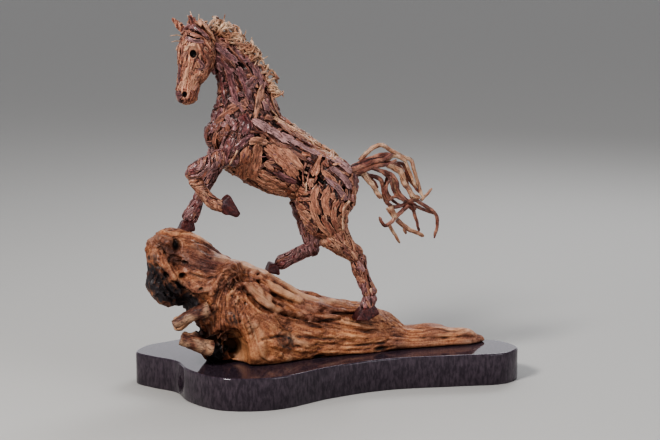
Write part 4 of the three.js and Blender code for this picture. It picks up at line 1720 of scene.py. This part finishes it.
# Roots glued on the body: slot, radius, height of the middle over the surface, route in pixels
BODY_ROOTS = read_rows(
    """
    umber 2.3 4 249,132 262,133 270,139 278,146 291,148
    umber 1.9 4.4 305,163 302,173 305,187
    umber 1.7 4 311,165 308,177 311,191
    pale 2.6 4.4 348,201 342,209 341,224 342,238
    pale 1.8 4 237,150 232,160 226,168 229,176
    pale 1.6 4.6 303,181 307,188 305,195
    umber 2.2 4 276,124 286,132 300,141 312,148
    umber 1.8 4.2 228,47 238,58 249,72 255,88
    pale 1.5 4.2 262,100 268,108 276,117
    """
)
# Knots on each leg node: radius and height in millimetres, and pixel
LEG_KNOTS = {
    "left_forearm": read_rows("7 3.5 193,171"),
    "left_fore_cannon": read_rows("5.5 2.5 191,182 \n 5.5 3 210,203"),
    "right_fore_cannon": read_rows("6 3.5 199,209 \n 6 3.5 189,220"),
    "left_gaskin": read_rows("7 3 361,262"),
    "left_hind_cannon": read_rows("6 2.5 356,268 \n 6 3 372,294"),
    "left_hind_pastern": read_rows("5 2.5 368,300"),
    "right_gaskin": read_rows("7 3 318,256"),
    "right_hind_cannon": read_rows("5 4.5 288,268 \n 5 2 303,262"),
}
# Half width and depth in millimetres, and route in pixels; each is cut with painted shade inside
BODY_CREVICES = read_rows(
    """
    3 5 229,57 236,62 243,68
    2.4 4 274,124 284,131 294,138
    7 8 257,153 263,158 261,167
    6 7 315,177 320,180 324,182
    2.4 5 303,162 301,174 303,188
    2.4 5 308,164 305,176 309,190
    2 4 318,216 326,223 334,228
    2 3.5 313,190 313,205 317,220
    2.4 5 346,203 344,216 344,230
    3.4 5 336,163 339,165
    4 6 344,189 346,192
    2.4 3.5 253,134 268,137 278,147
    5 6 264,78 268,86 272,92
    """
)


@dataclass(frozen=True)
class Chipping:
    """How one part of the horse is covered: typical flake sizes, in millimetres."""

    length: float
    width: float
    thick: float
    gap: float  # the least distance between two flakes' middles
    lift: float = 1.4
    stray: float = 0.12  # how far a flake turns off the grain, in radians
    mixed: float = 0.35  # how often it takes a neighbour's finish


BARREL_CHIPS = Chipping(length=18, width=11.5, thick=2.8, gap=7.8, lift=2.4, stray=0.35, mixed=0.35)
BODY_SLIVERS = Chipping(length=12, width=3.6, thick=1.8, gap=11.0, lift=3.6, stray=0.5, mixed=0.6)
HEAD_CHIPS = Chipping(length=11, width=6.5, thick=1.0, gap=6.0, lift=0.6, stray=0.4, mixed=0.4)
LEG_CHIPS = Chipping(length=17, width=5.0, thick=1.7, gap=5.4, lift=1.4, stray=0.16, mixed=0.5)
FAR_LEG_CHIPS = Chipping(length=19, width=5.0, thick=1.6, gap=5.6, lift=1.0, stray=0.12, mixed=0.15)
# Nodes whose wood is knobby
BURLS = ("breast_burl", "croup_burl", "rump_block", "left_shoulder", "right_shoulder", "throat_root")


def near_slot(slot: Slot, rng: np.random.Generator, mixed: float) -> Slot:
    """Draw a flake's finish.

    Args:
        slot: Its node's own.
        rng: The random draws.
        mixed: How often it is one of the neighbours'.

    Returns:
        The finish's slot.
    """
    others = {
        Slot.TAN: (Slot.UMBER, Slot.TAN, Slot.UMBER),
        Slot.PLUM: (Slot.UMBER, Slot.PLUM, Slot.UMBER),
        Slot.UMBER: (Slot.PLUM, Slot.TAN, Slot.PLUM),
        Slot.PALE: (Slot.TAN, Slot.UMBER, Slot.TAN),
    }
    return slot if rng.random() > mixed else others[slot][rng.integers(3)]


@dataclass
class Horse:
    """The horse: a carcass, a head, four legs with hooves, and the flakes that cover them."""

    finishes: Finishes
    body_nodes: tuple[str, ...] = tuple(
        """
        left_shoulder right_shoulder left_haunch right_haunch breast_burl withers_ridge saddle_slab
        croup_burl rump_block girth_slab belly_slab left_elbow_slab right_elbow_slab
        left_upper_rib_slab right_upper_rib_slab left_lower_rib_slab right_lower_rib_slab
        left_flank_slab right_flank_slab throat_root crest_root left_neck_root right_neck_root
        left_poll_root right_poll_root
        """.split()
    )
    leg_nodes: tuple[str, ...] = tuple(
        """
        left_forearm left_fore_cannon right_forearm right_fore_cannon left_gaskin left_hind_cannon
        left_hind_pastern right_gaskin right_hind_cannon
        """.split()
    )
    hoof_nodes: tuple[str, ...] = tuple(
        "left_fore_hoof right_fore_hoof left_hind_hoof right_hind_hoof".split()
    )
    raised_hoof_growth: float = 1.14
    spots: int = 2600  # where a flake's middle may lie, and how many more for each node
    node_spots: int = 110
    overlap: float = 0.42  # how near to a flake's edge the next one may lie
    domed_share: float = 0.7

    def __post_init__(self) -> None:
        """Work out the fibres' run, and read the nodes' slots and shapes."""
        self.grain = GrainField(HORSE_FLOW, NEAR_SIDE)
        self.far_grain = GrainField(FAR_LEG_FLOW, FAR_SIDE)
        rows = frame["record"]["subparts"]
        self.slots = {row["node"]: Slot(row["material_slot"]) for row in rows}
        nodes = self.body_nodes + self.leg_nodes + ("head_burl",)
        self.trees = {node: search_tree(node_mesh([node])) for node in nodes}

    def grain_of(self, node: str) -> GrainField:
        """The run of the fibres in a node."""
        far = node.startswith("right_") and node in self.leg_nodes + self.hoof_nodes
        return self.far_grain if far else self.grain

    def owner(self, place: Array, nodes: Sequence[str]) -> str:
        """The node that a place is nearest to."""
        return min(nodes, key=lambda node: self.trees[node].find_nearest(Vector(place))[3])

    def worked(
        self, nodes: Sequence[str], cell: float, smooth: int, seed: int, depth: float
    ) -> tuple[Skin, Surface]:
        """Grow a skin and comb its fibres.

        Args:
            nodes: The nodes that it covers.
            cell: The size of its first faces, in millimetres.
            smooth: Rounds of smoothing.
            seed: The seed of its noise.
            depth: How deep its grooves are, in millimetres.

        Returns:
            The skin, and the smooth surface from before the grooves.
        """
        mesh = grown(nodes, cell, smooth, swell=0.9)
        skin = Skin(mesh, self.grain_of(nodes[0]))
        surface = Surface(mesh, skin.grain)
        broad = skin.comb(seed, cell=5.5, reach=60.0)
        fibres = skin.comb(seed + 1, cell=2.4, reach=34.0)
        lumps = Noise(seed + 2).at(skin.co, cell=11.0)
        skin.push(depth * (0.8 * (np.abs(broad) - 0.8) + 0.2 * fibres + 0.8 * lumps))
        skin.marks["fibre"] = np.clip(0.5 + 0.14 * fibres + 0.06 * broad, 0, 1)
        skin.marks["tone"] = np.clip(0.5 + 0.7 * Noise(seed + 3).at(skin.co, cell=19.0), 0, 1)
        # painted shade in the valleys between the combed strands
        skin.mark("low", np.clip(0.5 - np.abs(broad), 0, 1) * 1.2)
        return skin, surface

    def cover(
        self,
        layer: FlakeLayer,
        nodes: Sequence[str],
        sizes: Chipping,
        seed: int,
        taken: Sequence[tuple[Array, float]] = (),
    ) -> None:
        """Cover a surface with flakes along its fibres.

        Args:
            layer: The layer that takes the flakes.
            nodes: The nodes under the surface, which set the finishes.
            sizes: The flakes' typical sizes.
            seed: The seed of the random draws.
            taken: Routes and widths of flakes that are already there.
        """
        rng = np.random.default_rng(seed)
        points = rng.permutation(layer.surface.points)[: self.node_spots * len(nodes) + self.spots]
        for route, width in taken:
            points = points[distance_to(points, route) > self.overlap * (width + sizes.width)]
        middles = np.full((1, 3), 1e6)
        for spot in points:
            if np.linalg.norm(middles - spot, axis=1).min() < sizes.gap:
                continue
            middles = np.vstack((middles, spot))
            owner = self.owner(spot, nodes)
            domed = owner in BURLS and rng.random() < self.domed_share
            length = sizes.length * rng.uniform(0.6, 1.35) * (0.72 if domed else 1)
            route = layer.surface.along_grain(spot, length)
            if sizes.stray > 0:
                turn = Matrix.Rotation(rng.normal(0, sizes.stray), 3, layer.surface.nearest(spot)[1])
                route = (route - spot) @ np.array(turn).T + spot
            flake = Flake(
                route=route,
                width=sizes.width * rng.uniform(0.6, 1.45) * (1.1 if domed else 1),
                slot=near_slot(self.slots[owner], rng, sizes.mixed),
                seed=seed * 1000 + len(middles),
                thick=sizes.thick * rng.uniform(0.6, 1.4),
                lift=sizes.lift * rng.uniform(0.0, 1.0),
                tone=rng.uniform(0, 1),
                point=rng.uniform(0, 0.8),
                pale=rng.uniform(0, 0.5) ** 1.5,
                dark=rng.uniform(-0.3, 0.3),
                domed=domed,
            )
            layer.lay(flake)
        LOG.info("%d flakes with seed %d", len(middles) - 1, seed)

    def carcass(self) -> None:
        """Build the body and the neck, and cover them with flakes."""
        skin, surface = self.worked(self.body_nodes, cell=3.6, smooth=8, seed=21, depth=1.4)
        for width, depth, pixels in BODY_CREVICES:
            skin.groove(surface.traced(pixels), width, depth, 1.0)
        skin.refresh()
        # painted shade over the whole core, which shows only in the gaps between the flakes
        skin.marks["low"] = np.clip(skin.marks["low"] + 0.32, 0, 1)
        skin_piece("carcass", skin, self.finishes, Slot.UMBER, self.body_nodes)
        layer = FlakeLayer(surface)
        taken = []
        for seed, row in enumerate(BODY_FLAKES):
            slot, width, thick, lift, tone, point, pale, pixels = row
            route = surface.traced(pixels)
            layer.lay(Flake(route, width, slot, 500 + seed, thick, lift, tone, point, pale))
            taken.append((route, width))
        taken += [(surface.traced(pixels), width + 2) for width, _, pixels in BODY_CREVICES[:5]]
        body = [node for node in self.body_nodes if "neck" not in node and "poll" not in node]
        self.cover(layer, body, BARREL_CHIPS, seed=31, taken=taken)
        self.cover(layer, body, BODY_SLIVERS, seed=32)
        layer.pieces("body_flakes", self.finishes)
        for slot, name in ((Slot.PALE, "body_pale_roots"), (Slot.UMBER, "body_brown_roots")):
            bundle = RootletBundle(name, slot, sides=9, wobble_mm=1.0, knobs_mm=0.9, spacing_mm=1.8)
            for own, radius, height, pixels in BODY_ROOTS:
                if own is slot:
                    route = surface.over(pixels, height)
                    bundle.rootlets.append(Rootlet(route, radius, radius * 0.8))
            bundle.piece(self.finishes)

    def legs(self) -> None:
        """Build each leg's pieces and bind them with narrow flakes."""
        for seed, node in enumerate(self.leg_nodes):
            slot = self.slots[node]
            skin, surface = self.worked([node], cell=2.4, smooth=4, seed=100 + seed * 7, depth=1.3)
            for radius, height, (pixel,) in LEG_KNOTS.get(node, ()):
                skin.knot(surface.seen_at(pixel), radius, height, dark=0.2)
            skin.refresh()
            skin_piece(f"{node}_wood", skin, self.finishes, slot, [node])
            layer = FlakeLayer(surface)
            sizes = FAR_LEG_CHIPS if skin.grain is self.far_grain else LEG_CHIPS
            self.cover(layer, [node], sizes, 50 + seed)
            layer.pieces(f"{node}_flakes", self.finishes)

    def hooves(self) -> None:
        """Build the hooves: cut clean, with only a faint grain."""
        for seed, node in enumerate(self.hoof_nodes):
            skin = Skin(grown([node], cell=2.0, smooth=3, swell=0.9), self.grain_of(node))
            fibres = skin.comb(200 + seed, cell=2.6, reach=26.0)
            skin.push(0.05 * fibres + 1.2 * Noise(210 + seed).at(skin.co, cell=10.0))
            if node == "left_fore_hoof":
                middle = skin.co.mean(axis=0)
                skin.co = middle + (skin.co - middle) * self.raised_hoof_growth
                skin.refresh()
            skin.marks["fibre"] = np.clip(0.5 + 0.03 * fibres, 0, 1)
            tones = 0.3 + 0.7 * Noise(220 + seed).at(skin.co, cell=16.0)
            skin.marks["tone"] = np.clip(tones, 0, 1)
            skin_piece(f"{node}_wood", skin, self.finishes, Slot.HOOF, [node])


# Flakes on the head: slot, width, thickness, lift, tone, pale, route in pixels; the pale of the last one,
# on the brow, is a painted highlight
HEAD_FLAKES = read_rows(
    """
    plum 9 2.6 3 0.5 0.2 189,21 197,29 207,38
    tan 6 2.4 5 0.2 0.4 194,16 203,26 213,40
    umber 7 2 2 0.6 0.2 184,29 190,34 200,37
    plum 7 2 1.2 0.8 0.2 186,38 194,41 203,42
    umber 6 1.2 0.4 0.5 0.1 182,42 183,50 182,60
    tan 6 1.2 0.5 0.1 0.35 188,68 186,77 184,87
    plum 5 1.2 0.3 0.3 0 180,64 179,74 179,84
    tan 7 1.4 0.5 0.3 0.2 196,74 192,82 190,91
    umber 8 1.8 0.8 0.5 0.1 205,54 208,62 203,70
    plum 6 1.6 0.8 0.5 0.1 198,60 203,66 198,70
    tan 4 1.4 0.9 0.3 0.3 194,75 200,73 206,67
    plum 8 1.4 0.4 0.6 0 177,91 177,96 181,102
    umber 5 1.4 0.4 0.4 0.1 190,89 193,95 190,101
    tan 4 1.8 1.2 0 0.6 185,51 189,46 196,44
    """
)


@dataclass
class Head:
    """The head, carved from one burl: eye and nostril hollows, brow, cheek and jaw on both sides."""

    horse: Horse
    eye: Pixel = (193.0, 54.0)
    nostril: Pixel = (184.5, 94.5)
    brow: Pixel = (194, 47)
    eye_mm: tuple[float, float, float] = (5.0, 6.0, 7.0)  # half width, half height and depth
    nostril_mm: tuple[float, float, float] = (4.0, 4.4, 6.0)
    # half width and height in millimetres, and route in pixels
    ridges: tuple = read_rows(
        """
        2.4 2.6 187,50 190,46 196,46 200,50
        2.2 1.6 187,58 191,62 197,60
        4 2 196,46 206,44 210,50
        4 1.6 190,68 186,78 183,88
        2.2 1.6 181,90 186,89 189,94 187,99
        3.4 2.2 205,52 209,62 205,72 198,74
        """
    )
    grooves: tuple = read_rows(
        """
        2 2.4 200,66 196,68 193,73
        1.2 1.6 178,100 184,101 190,99
        1.8 1.2 199,56 203,60 204,66
        3.4 5 188,38 193,36 200,33
        2 1 182,62 180,74 179,84
        """
    )

    @staticmethod
    def mirrored(route: Array) -> Array:
        """The same route on the head's other side, across its own turned middle plane."""
        straight = turned(route - HEAD_PIVOT, -HEAD_TURN)
        return turned(straight * (1, -1, 1), HEAD_TURN) + HEAD_PIVOT

    @staticmethod
    def sink(skin: Skin, middle: Array, normal: Array, sizes: tuple[float, float, float]) -> None:
        """Sink an eye or a nostril, with painted shade inside and a raised rim with a painted highlight.

        Args:
            skin: The skin.
            middle: The hollow's middle.
            normal: The way out of it.
            sizes: Its half width, half height and depth, in millimetres.
        """
        wide, tall, depth = sizes
        gap = skin.co - middle
        level = unit(np.cross(normal, (0.0, 0.0, 1.0)))
        rise = unit(np.cross(level, normal))
        away = np.hypot(gap @ level / wide, gap @ rise / tall)
        near = np.linalg.norm(gap, axis=1) < 3 * tall
        shape = np.exp(-(away**6)) * near
        rim = np.exp(-(((away - 1.25) / 0.25) ** 2)) * near
        skin.co = skin.co - normal * (shape * depth)[:, None]
        skin.co = skin.co + skin.normals * (rim * 0.8)[:, None]
        # painted shade fills the socket; the rim takes a painted highlight instead
        skin.marks["low"] = np.where(shape > 0.3, 1.0, skin.marks["low"] * (1 - rim))
        skin.mark("pale", rim * 0.25)

    def build(self) -> None:
        """Build the head, its eyes and its ears."""
        horse = self.horse
        skin, surface = horse.worked(["head_burl"], cell=2.4, smooth=5, seed=61, depth=0.7)
        # half as much painted shade on the head
        skin.marks["low"] *= 0.5
        both = [lambda route: route, self.mirrored]
        for side in both:
            for width, height, pixels in self.ridges:
                skin.groove(side(surface.traced(pixels, 2.0)), width, -height, 0)
            for width, depth, pixels in self.grooves:
                skin.groove(side(surface.traced(pixels, 2.0)), width, depth, 0.85)
            for pixel, sizes in ((self.eye, self.eye_mm), (self.nostril, self.nostril_mm)):
                middle = side(surface.seen_at(pixel)[None])[0]
                self.sink(skin, middle, surface.nearest(middle)[1], sizes)
        skin.refresh()
        # painted highlight on the brow above the eye
        brow = np.linalg.norm(skin.co - surface.seen_at(self.brow), axis=1)
        skin.mark("pale", 0.35 * np.exp(-((brow / 9) ** 2)))
        skin_piece("head_wood", skin, horse.finishes, Slot.TAN, ["head_burl"])
        layer = FlakeLayer(surface)
        taken = [(surface.traced(pixels), 2.0) for _, _, pixels in self.ridges]
        for pixel, width in ((self.eye, 22.0), (self.nostril, 16.0)):
            spot = surface.seen_at(pixel)
            for end in (spot, self.mirrored(spot[None])[0]):
                taken.append((np.array((end, end + 0.1)), width))
        for seed, row in enumerate(HEAD_FLAKES):
            slot, width, thick, lift, tone, pale, pixels = row
            for side in both:
                route = side(surface.traced(pixels, 2.0))
                layer.lay(Flake(route, width, slot, 700 + seed, thick, lift, tone, 0.2, pale))
                taken.append((route, width))
        horse.cover(layer, ["head_burl"], HEAD_CHIPS, seed=71, taken=taken)
        layer.pieces("head_flakes", horse.finishes)
        self.ears()

    def ears(self) -> None:
        """Build the ears, each from one burl."""
        horse = self.horse
        for seed, node in enumerate(("left_ear", "right_ear")):
            slot = horse.slots[node]
            skin = Skin(grown([node], cell=1.5, smooth=3, swell=0.4), horse.grain)
            fibres = skin.comb(300 + seed, cell=2.2, reach=30.0)
            skin.push(0.5 * fibres)
            skin.marks["fibre"] = np.clip(0.5 + 0.15 * fibres, 0, 1)
            skin.marks["tone"] = np.full(len(skin.co), 0.3)
            skin_piece(f"{node}_wood", skin, horse.finishes, slot, [node])


@dataclass
class Mane:
    """Matted rootlets along the crest, a forelock and one loose lock."""

    finishes: Finishes
    crest: tuple[Pixel, ...] = read_rows(
        "201,24 213,24 227,31 241,43 253,56 263,70 271,84 276,95"
    )[0]
    count: int = 125
    samples: int = 200  # how finely the crest is divided
    core_mm: float = 12.0  # the radius of the core that the rootlets lie on
    step_mm: float = 2.5
    turn: float = 6.3  # about one full wave
    # what each rootlet's sizes are drawn from, in millimetres
    around_mm: tuple[float, float] = (-14, 20)
    wave_mm: tuple[float, float] = (28, 48)
    rise_mm: tuple[float, float] = (-1.5, 3.5)
    length_mm: tuple[float, float] = (32, 58)
    radius_mm: tuple[float, float] = (1.9, 2.6)
    # radius in millimetres, bench plane and route in pixels
    traced: tuple = read_rows(
        """
        1.7 -17 246,52 252,55 256,61 253,69 256,74 262,72 265,66
        1.6 -13 262,88 267,94 272,97 277,95 281,93 284,97
        1.4 -15 258,84 261,91 267,96 271,99
        1.3 -9 222,24 224,19 225,14
        1.3 -6 241,38 245,34 246,30
        1.3 -6 248,46 251,42 252,37
        1.3 -8 260,60 265,58 268,56
        1.2 -9 199,26 190,31 183,38 179,47
        1.2 -14 201,28 193,34 188,41 185,46
        1 -12 183,37 177,35 170,36
        1 -14 184,42 177,41 171,42
        1.1 -18 197,27 193,19 190,11
        1.1 -16 194,26 190,20 187,15
        1.1 -20 201,26 199,20 199,14
        """
    )

    def build(self) -> None:
        """Build the mane: each rootlet snakes over a core that follows the crest."""
        sizes = {"sides": 7, "wobble_mm": 0.5, "knobs_mm": 0.3, "spacing_mm": 1.8}
        bundle = RootletBundle("mane_rootlets", Slot.PALE, **sizes)
        rng = np.random.default_rng(81)
        line = smooth_path(VIEW.route(self.crest, near=-4.0), self.samples)
        spacing = np.linalg.norm(line[1] - line[0])
        runs = unit(np.gradient(line, axis=0))
        viewer = np.array((0.0, -1.0, 0.0))
        outward = unit(np.cross(runs, viewer))
        for _ in range(self.count):
            along = rng.uniform(4, self.samples - 4) * spacing
            around = rng.uniform(*self.around_mm)
            heading = rng.normal(0.45, 0.6)
            bend = rng.uniform(0.5, 1.3)
            phase = rng.uniform(0, self.turn)
            wave = rng.uniform(*self.wave_mm)
            height = self.core_mm * rng.uniform(0.75, 1.25)
            rise = rng.uniform(*self.rise_mm)
            points = []
            for s in np.arange(0, rng.uniform(*self.length_mm), self.step_mm):
                turn = heading + bend * math.sin(self.turn * s / wave + phase)
                along += self.step_mm * math.cos(turn)
                around += self.step_mm * math.sin(turn)
                here = int(np.clip(along / spacing, 0, self.samples - 1))
                angle = around / self.core_mm
                radius = height + rise * math.sin(self.turn * s / wave * 0.7 + phase)
                side = outward[here] * math.cos(angle) + viewer * math.sin(angle)
                points.append(line[here] + side * radius)
            thick = rng.uniform(*self.radius_mm)
            bundle.rootlets.append(Rootlet(np.array(points), thick, thick * 0.8))
        for radius, y, pixels in self.traced:
            bundle.rootlets.append(Rootlet(VIEW.route(pixels, y), radius, radius * 0.6))
        nodes = ("mane_poll_tuft", "mane_upper_tuft", "mane_middle_tuft", "mane_lower_tuft", "mane_lock")
        bundle.piece(self.finishes, nodes)


@dataclass
class Tail:
    """Roots that spring from the dock and tangle."""

    finishes: Finishes
    girth: float = 1.5  # how much thicker than traced the roots are made
    # radius in millimetres, first and last bench plane, and route in pixels
    pale: tuple = read_rows(
        """
        2.7 5 0 360,160 368,152 374,147 382,145 392,151 404,157 411,160 414,170 417,180 420,190 424,199
        2.2 -3 -2 385,160 395,156 404,160 408,168 412,178 417,188
        3.9 -7 -5 388,164 394,168 401,173 404,183 409,189 413,196 420,198
        2.6 -4 -8 360,172 369,182 375,190 380,199
        2.2 -6 -8 364,172 372,183 378,192 382,199
        2.6 -6 -5 392,177 394,185 397,192 399,198
        4.6 -4 -6 389,207 392,212 396,218
        2.1 -8 2 389,225 394,233 400,243
        3 -2 4 397,220 404,226 410,230 418,233 424,236
        2 0 3 404,228 406,234
        1.8 0 1 421,200 428,193 432,188
        """
    )
    brown: tuple = read_rows(
        """
        2.2 10 3 372,163 385,164 400,163 405,168 409,178 419,193
        2.5 -9 -9 356,174 370,168 382,171 392,175 397,182 398,190 403,197 410,202 416,205
        2.8 4 -3 354,175 362,174 372,176 380,179 383,186 384,196 388,204 395,207 403,205 409,201
        2.3 2 3 362,172 368,176 374,182 378,188
        2 -10 -12 391,177 387,184 386,192 389,200
        2.1 -12 -8 387,201 392,198 397,197 404,201
        2.6 -4 -9 409,205 402,211 396,217 389,224 384,225 379,217
        2.1 0 2 412,207 415,215 417,223 419,231
        2.2 6 5 413,205 423,209 430,212 437,214
        2.4 -3 5 409,201 415,200 422,204 428,208 434,212 437,218 437,227 434,238
        4.2 -1 0 405,202 409,205 413,208 416,209
        3.4 -9 -6 350,171 361,167 373,162 384,159 392,154
        3 -10 -8 350,175 362,171 376,166 389,164 396,160
        2.8 0 -2 352,168 362,162 374,157 386,154 396,157
        2.6 6 3 352,172 366,164 380,161 396,164 404,172
        2 6 6 390,172 386,182 388,194 396,203 406,207
        1.8 8 4 398,166 406,176 408,188 412,200
        1.8 -12 -8 382,172 390,180 394,192 404,200
        """
    )

    def build(self, horse: Horse) -> None:
        """Build the tail.

        Args:
            horse: The horse, whose fibres run into the dock.
        """
        names = [node for node in frame["nodes"] if node.startswith("tail_")]
        light = [node for node in names if "pale" in node or "crown" in node]
        dark = [node for node in names if node not in light and node != "tail_dock"]
        skin, _ = horse.worked(["tail_dock"], cell=2.0, smooth=4, seed=91, depth=1.0)
        skin_piece("tail_dock_wood", skin, self.finishes, Slot.UMBER, ["tail_dock"])
        for name, slot, rows, nodes in (
            ("tail_pale_roots", Slot.PALE, self.pale, light),
            ("tail_brown_roots", Slot.UMBER, self.brown, dark),
        ):
            bundle = RootletBundle(name, slot, sides=9, wobble_mm=1.6, knobs_mm=1.0, spacing_mm=2.2)
            for radius, near, far, pixels in rows:
                thick = radius * self.girth
                bundle.rootlets.append(Rootlet(VIEW.route(pixels, near, far), thick, thick * 0.72))
            bundle.piece(self.finishes, nodes)


@dataclass
class Studio:
    """A plain pale floor and plain soft light."""

    floor_tone: str = "#bdbbb8"
    half_m: float = 30.0
    ambient: float = 0.36
    backdrop: float = 0.9  # a bright band low behind the object, which the plinth mirrors
    sky_colour: tuple[float, float, float, float] = (0.9, 0.91, 0.94, 1)
    aim_m: tuple[float, float, float] = (0, 0, 0.3)

    def build(self) -> None:
        """Build the floor, the lamps and the sky."""
        mesh = bpy.data.meshes.new("floor")
        h = self.half_m
        mesh.from_pydata([(-h, -h, 0), (h, -h, 0), (h, h, 0), (-h, h, 0)], [], [(0, 1, 2, 3)])
        paint = bpy.data.materials.new("matt_floor_paint")
        paint.use_nodes = True
        shader = paint.node_tree.nodes["Principled BSDF"]
        shader.inputs["Base Color"].default_value = linear(self.floor_tone)
        shader.inputs["Roughness"].default_value = 0.9
        mesh.materials.append(paint)
        floor = add_object("floor", mesh)
        lamps = (
            # name, place, size in metres, power in watts, colour
            ("key_lamp", (-1.5, -1.9, 2.3), 0.6, 62, (1.0, 0.98, 0.95)),
            ("fill_lamp", (2.1, -1.9, 1.2), 1.6, 20, (0.93, 0.96, 1.0)),
            ("rim_lamp", (0.9, 1.9, 2.0), 1.1, 18, (0.95, 0.97, 1.0)),
        )
        for name, place, size, power, colour in lamps:
            data = bpy.data.lights.new(name, "AREA")
            data.size = size
            data.energy = power
            data.color = colour
            lamp = add_object(name, data)
            lamp.location = place
            aim = Vector(self.aim_m) - Vector(place)
            lamp.rotation_euler = aim.to_track_quat("-Z", "Y").to_euler()
        world = bpy.data.worlds.new("soft_sky")
        world.use_nodes = True
        tree = world.node_tree
        heading = add_node(tree, "ShaderNodeTexCoord")["Generated"]
        split = add_node(tree, "ShaderNodeSeparateXYZ", {"Vector": heading})
        rise = add_node(tree, MATH, (split["Z"], -4.0, 1.7), **CAPPED)[0]
        back = add_node(tree, MATH, (split["Y"], 2.0, -0.7), **CAPPED)[0]
        glow = add_node(tree, MATH, (rise, back), operation="MULTIPLY")[0]
        power = add_node(tree, MATH, (glow, self.backdrop, self.ambient), **SCALED)[0]
        sky = tree.nodes["Background"]
        sky.inputs["Color"].default_value = self.sky_colour
        tree.links.new(power, sky.inputs["Strength"])
        bpy.context.scene.world = world


def main() -> None:
    """Build the object, the stage and the camera."""
    logging.basicConfig(level=logging.INFO, format="%(relativeCreated)d ms: %(message)s")
    bpy.context.scene.view_settings.look = "AgX - High Contrast"
    VIEW.make_camera()
    finishes = Finishes()
    Studio().build()
    Plinth().build(finishes)
    RootBase().build(finishes)
    horse = Horse(finishes)
    horse.carcass()
    horse.legs()
    horse.hooves()
    Head(horse).build()
    Mane(finishes).build()
    Tail(finishes).build(horse)


if __name__ == "__main__":
    main()
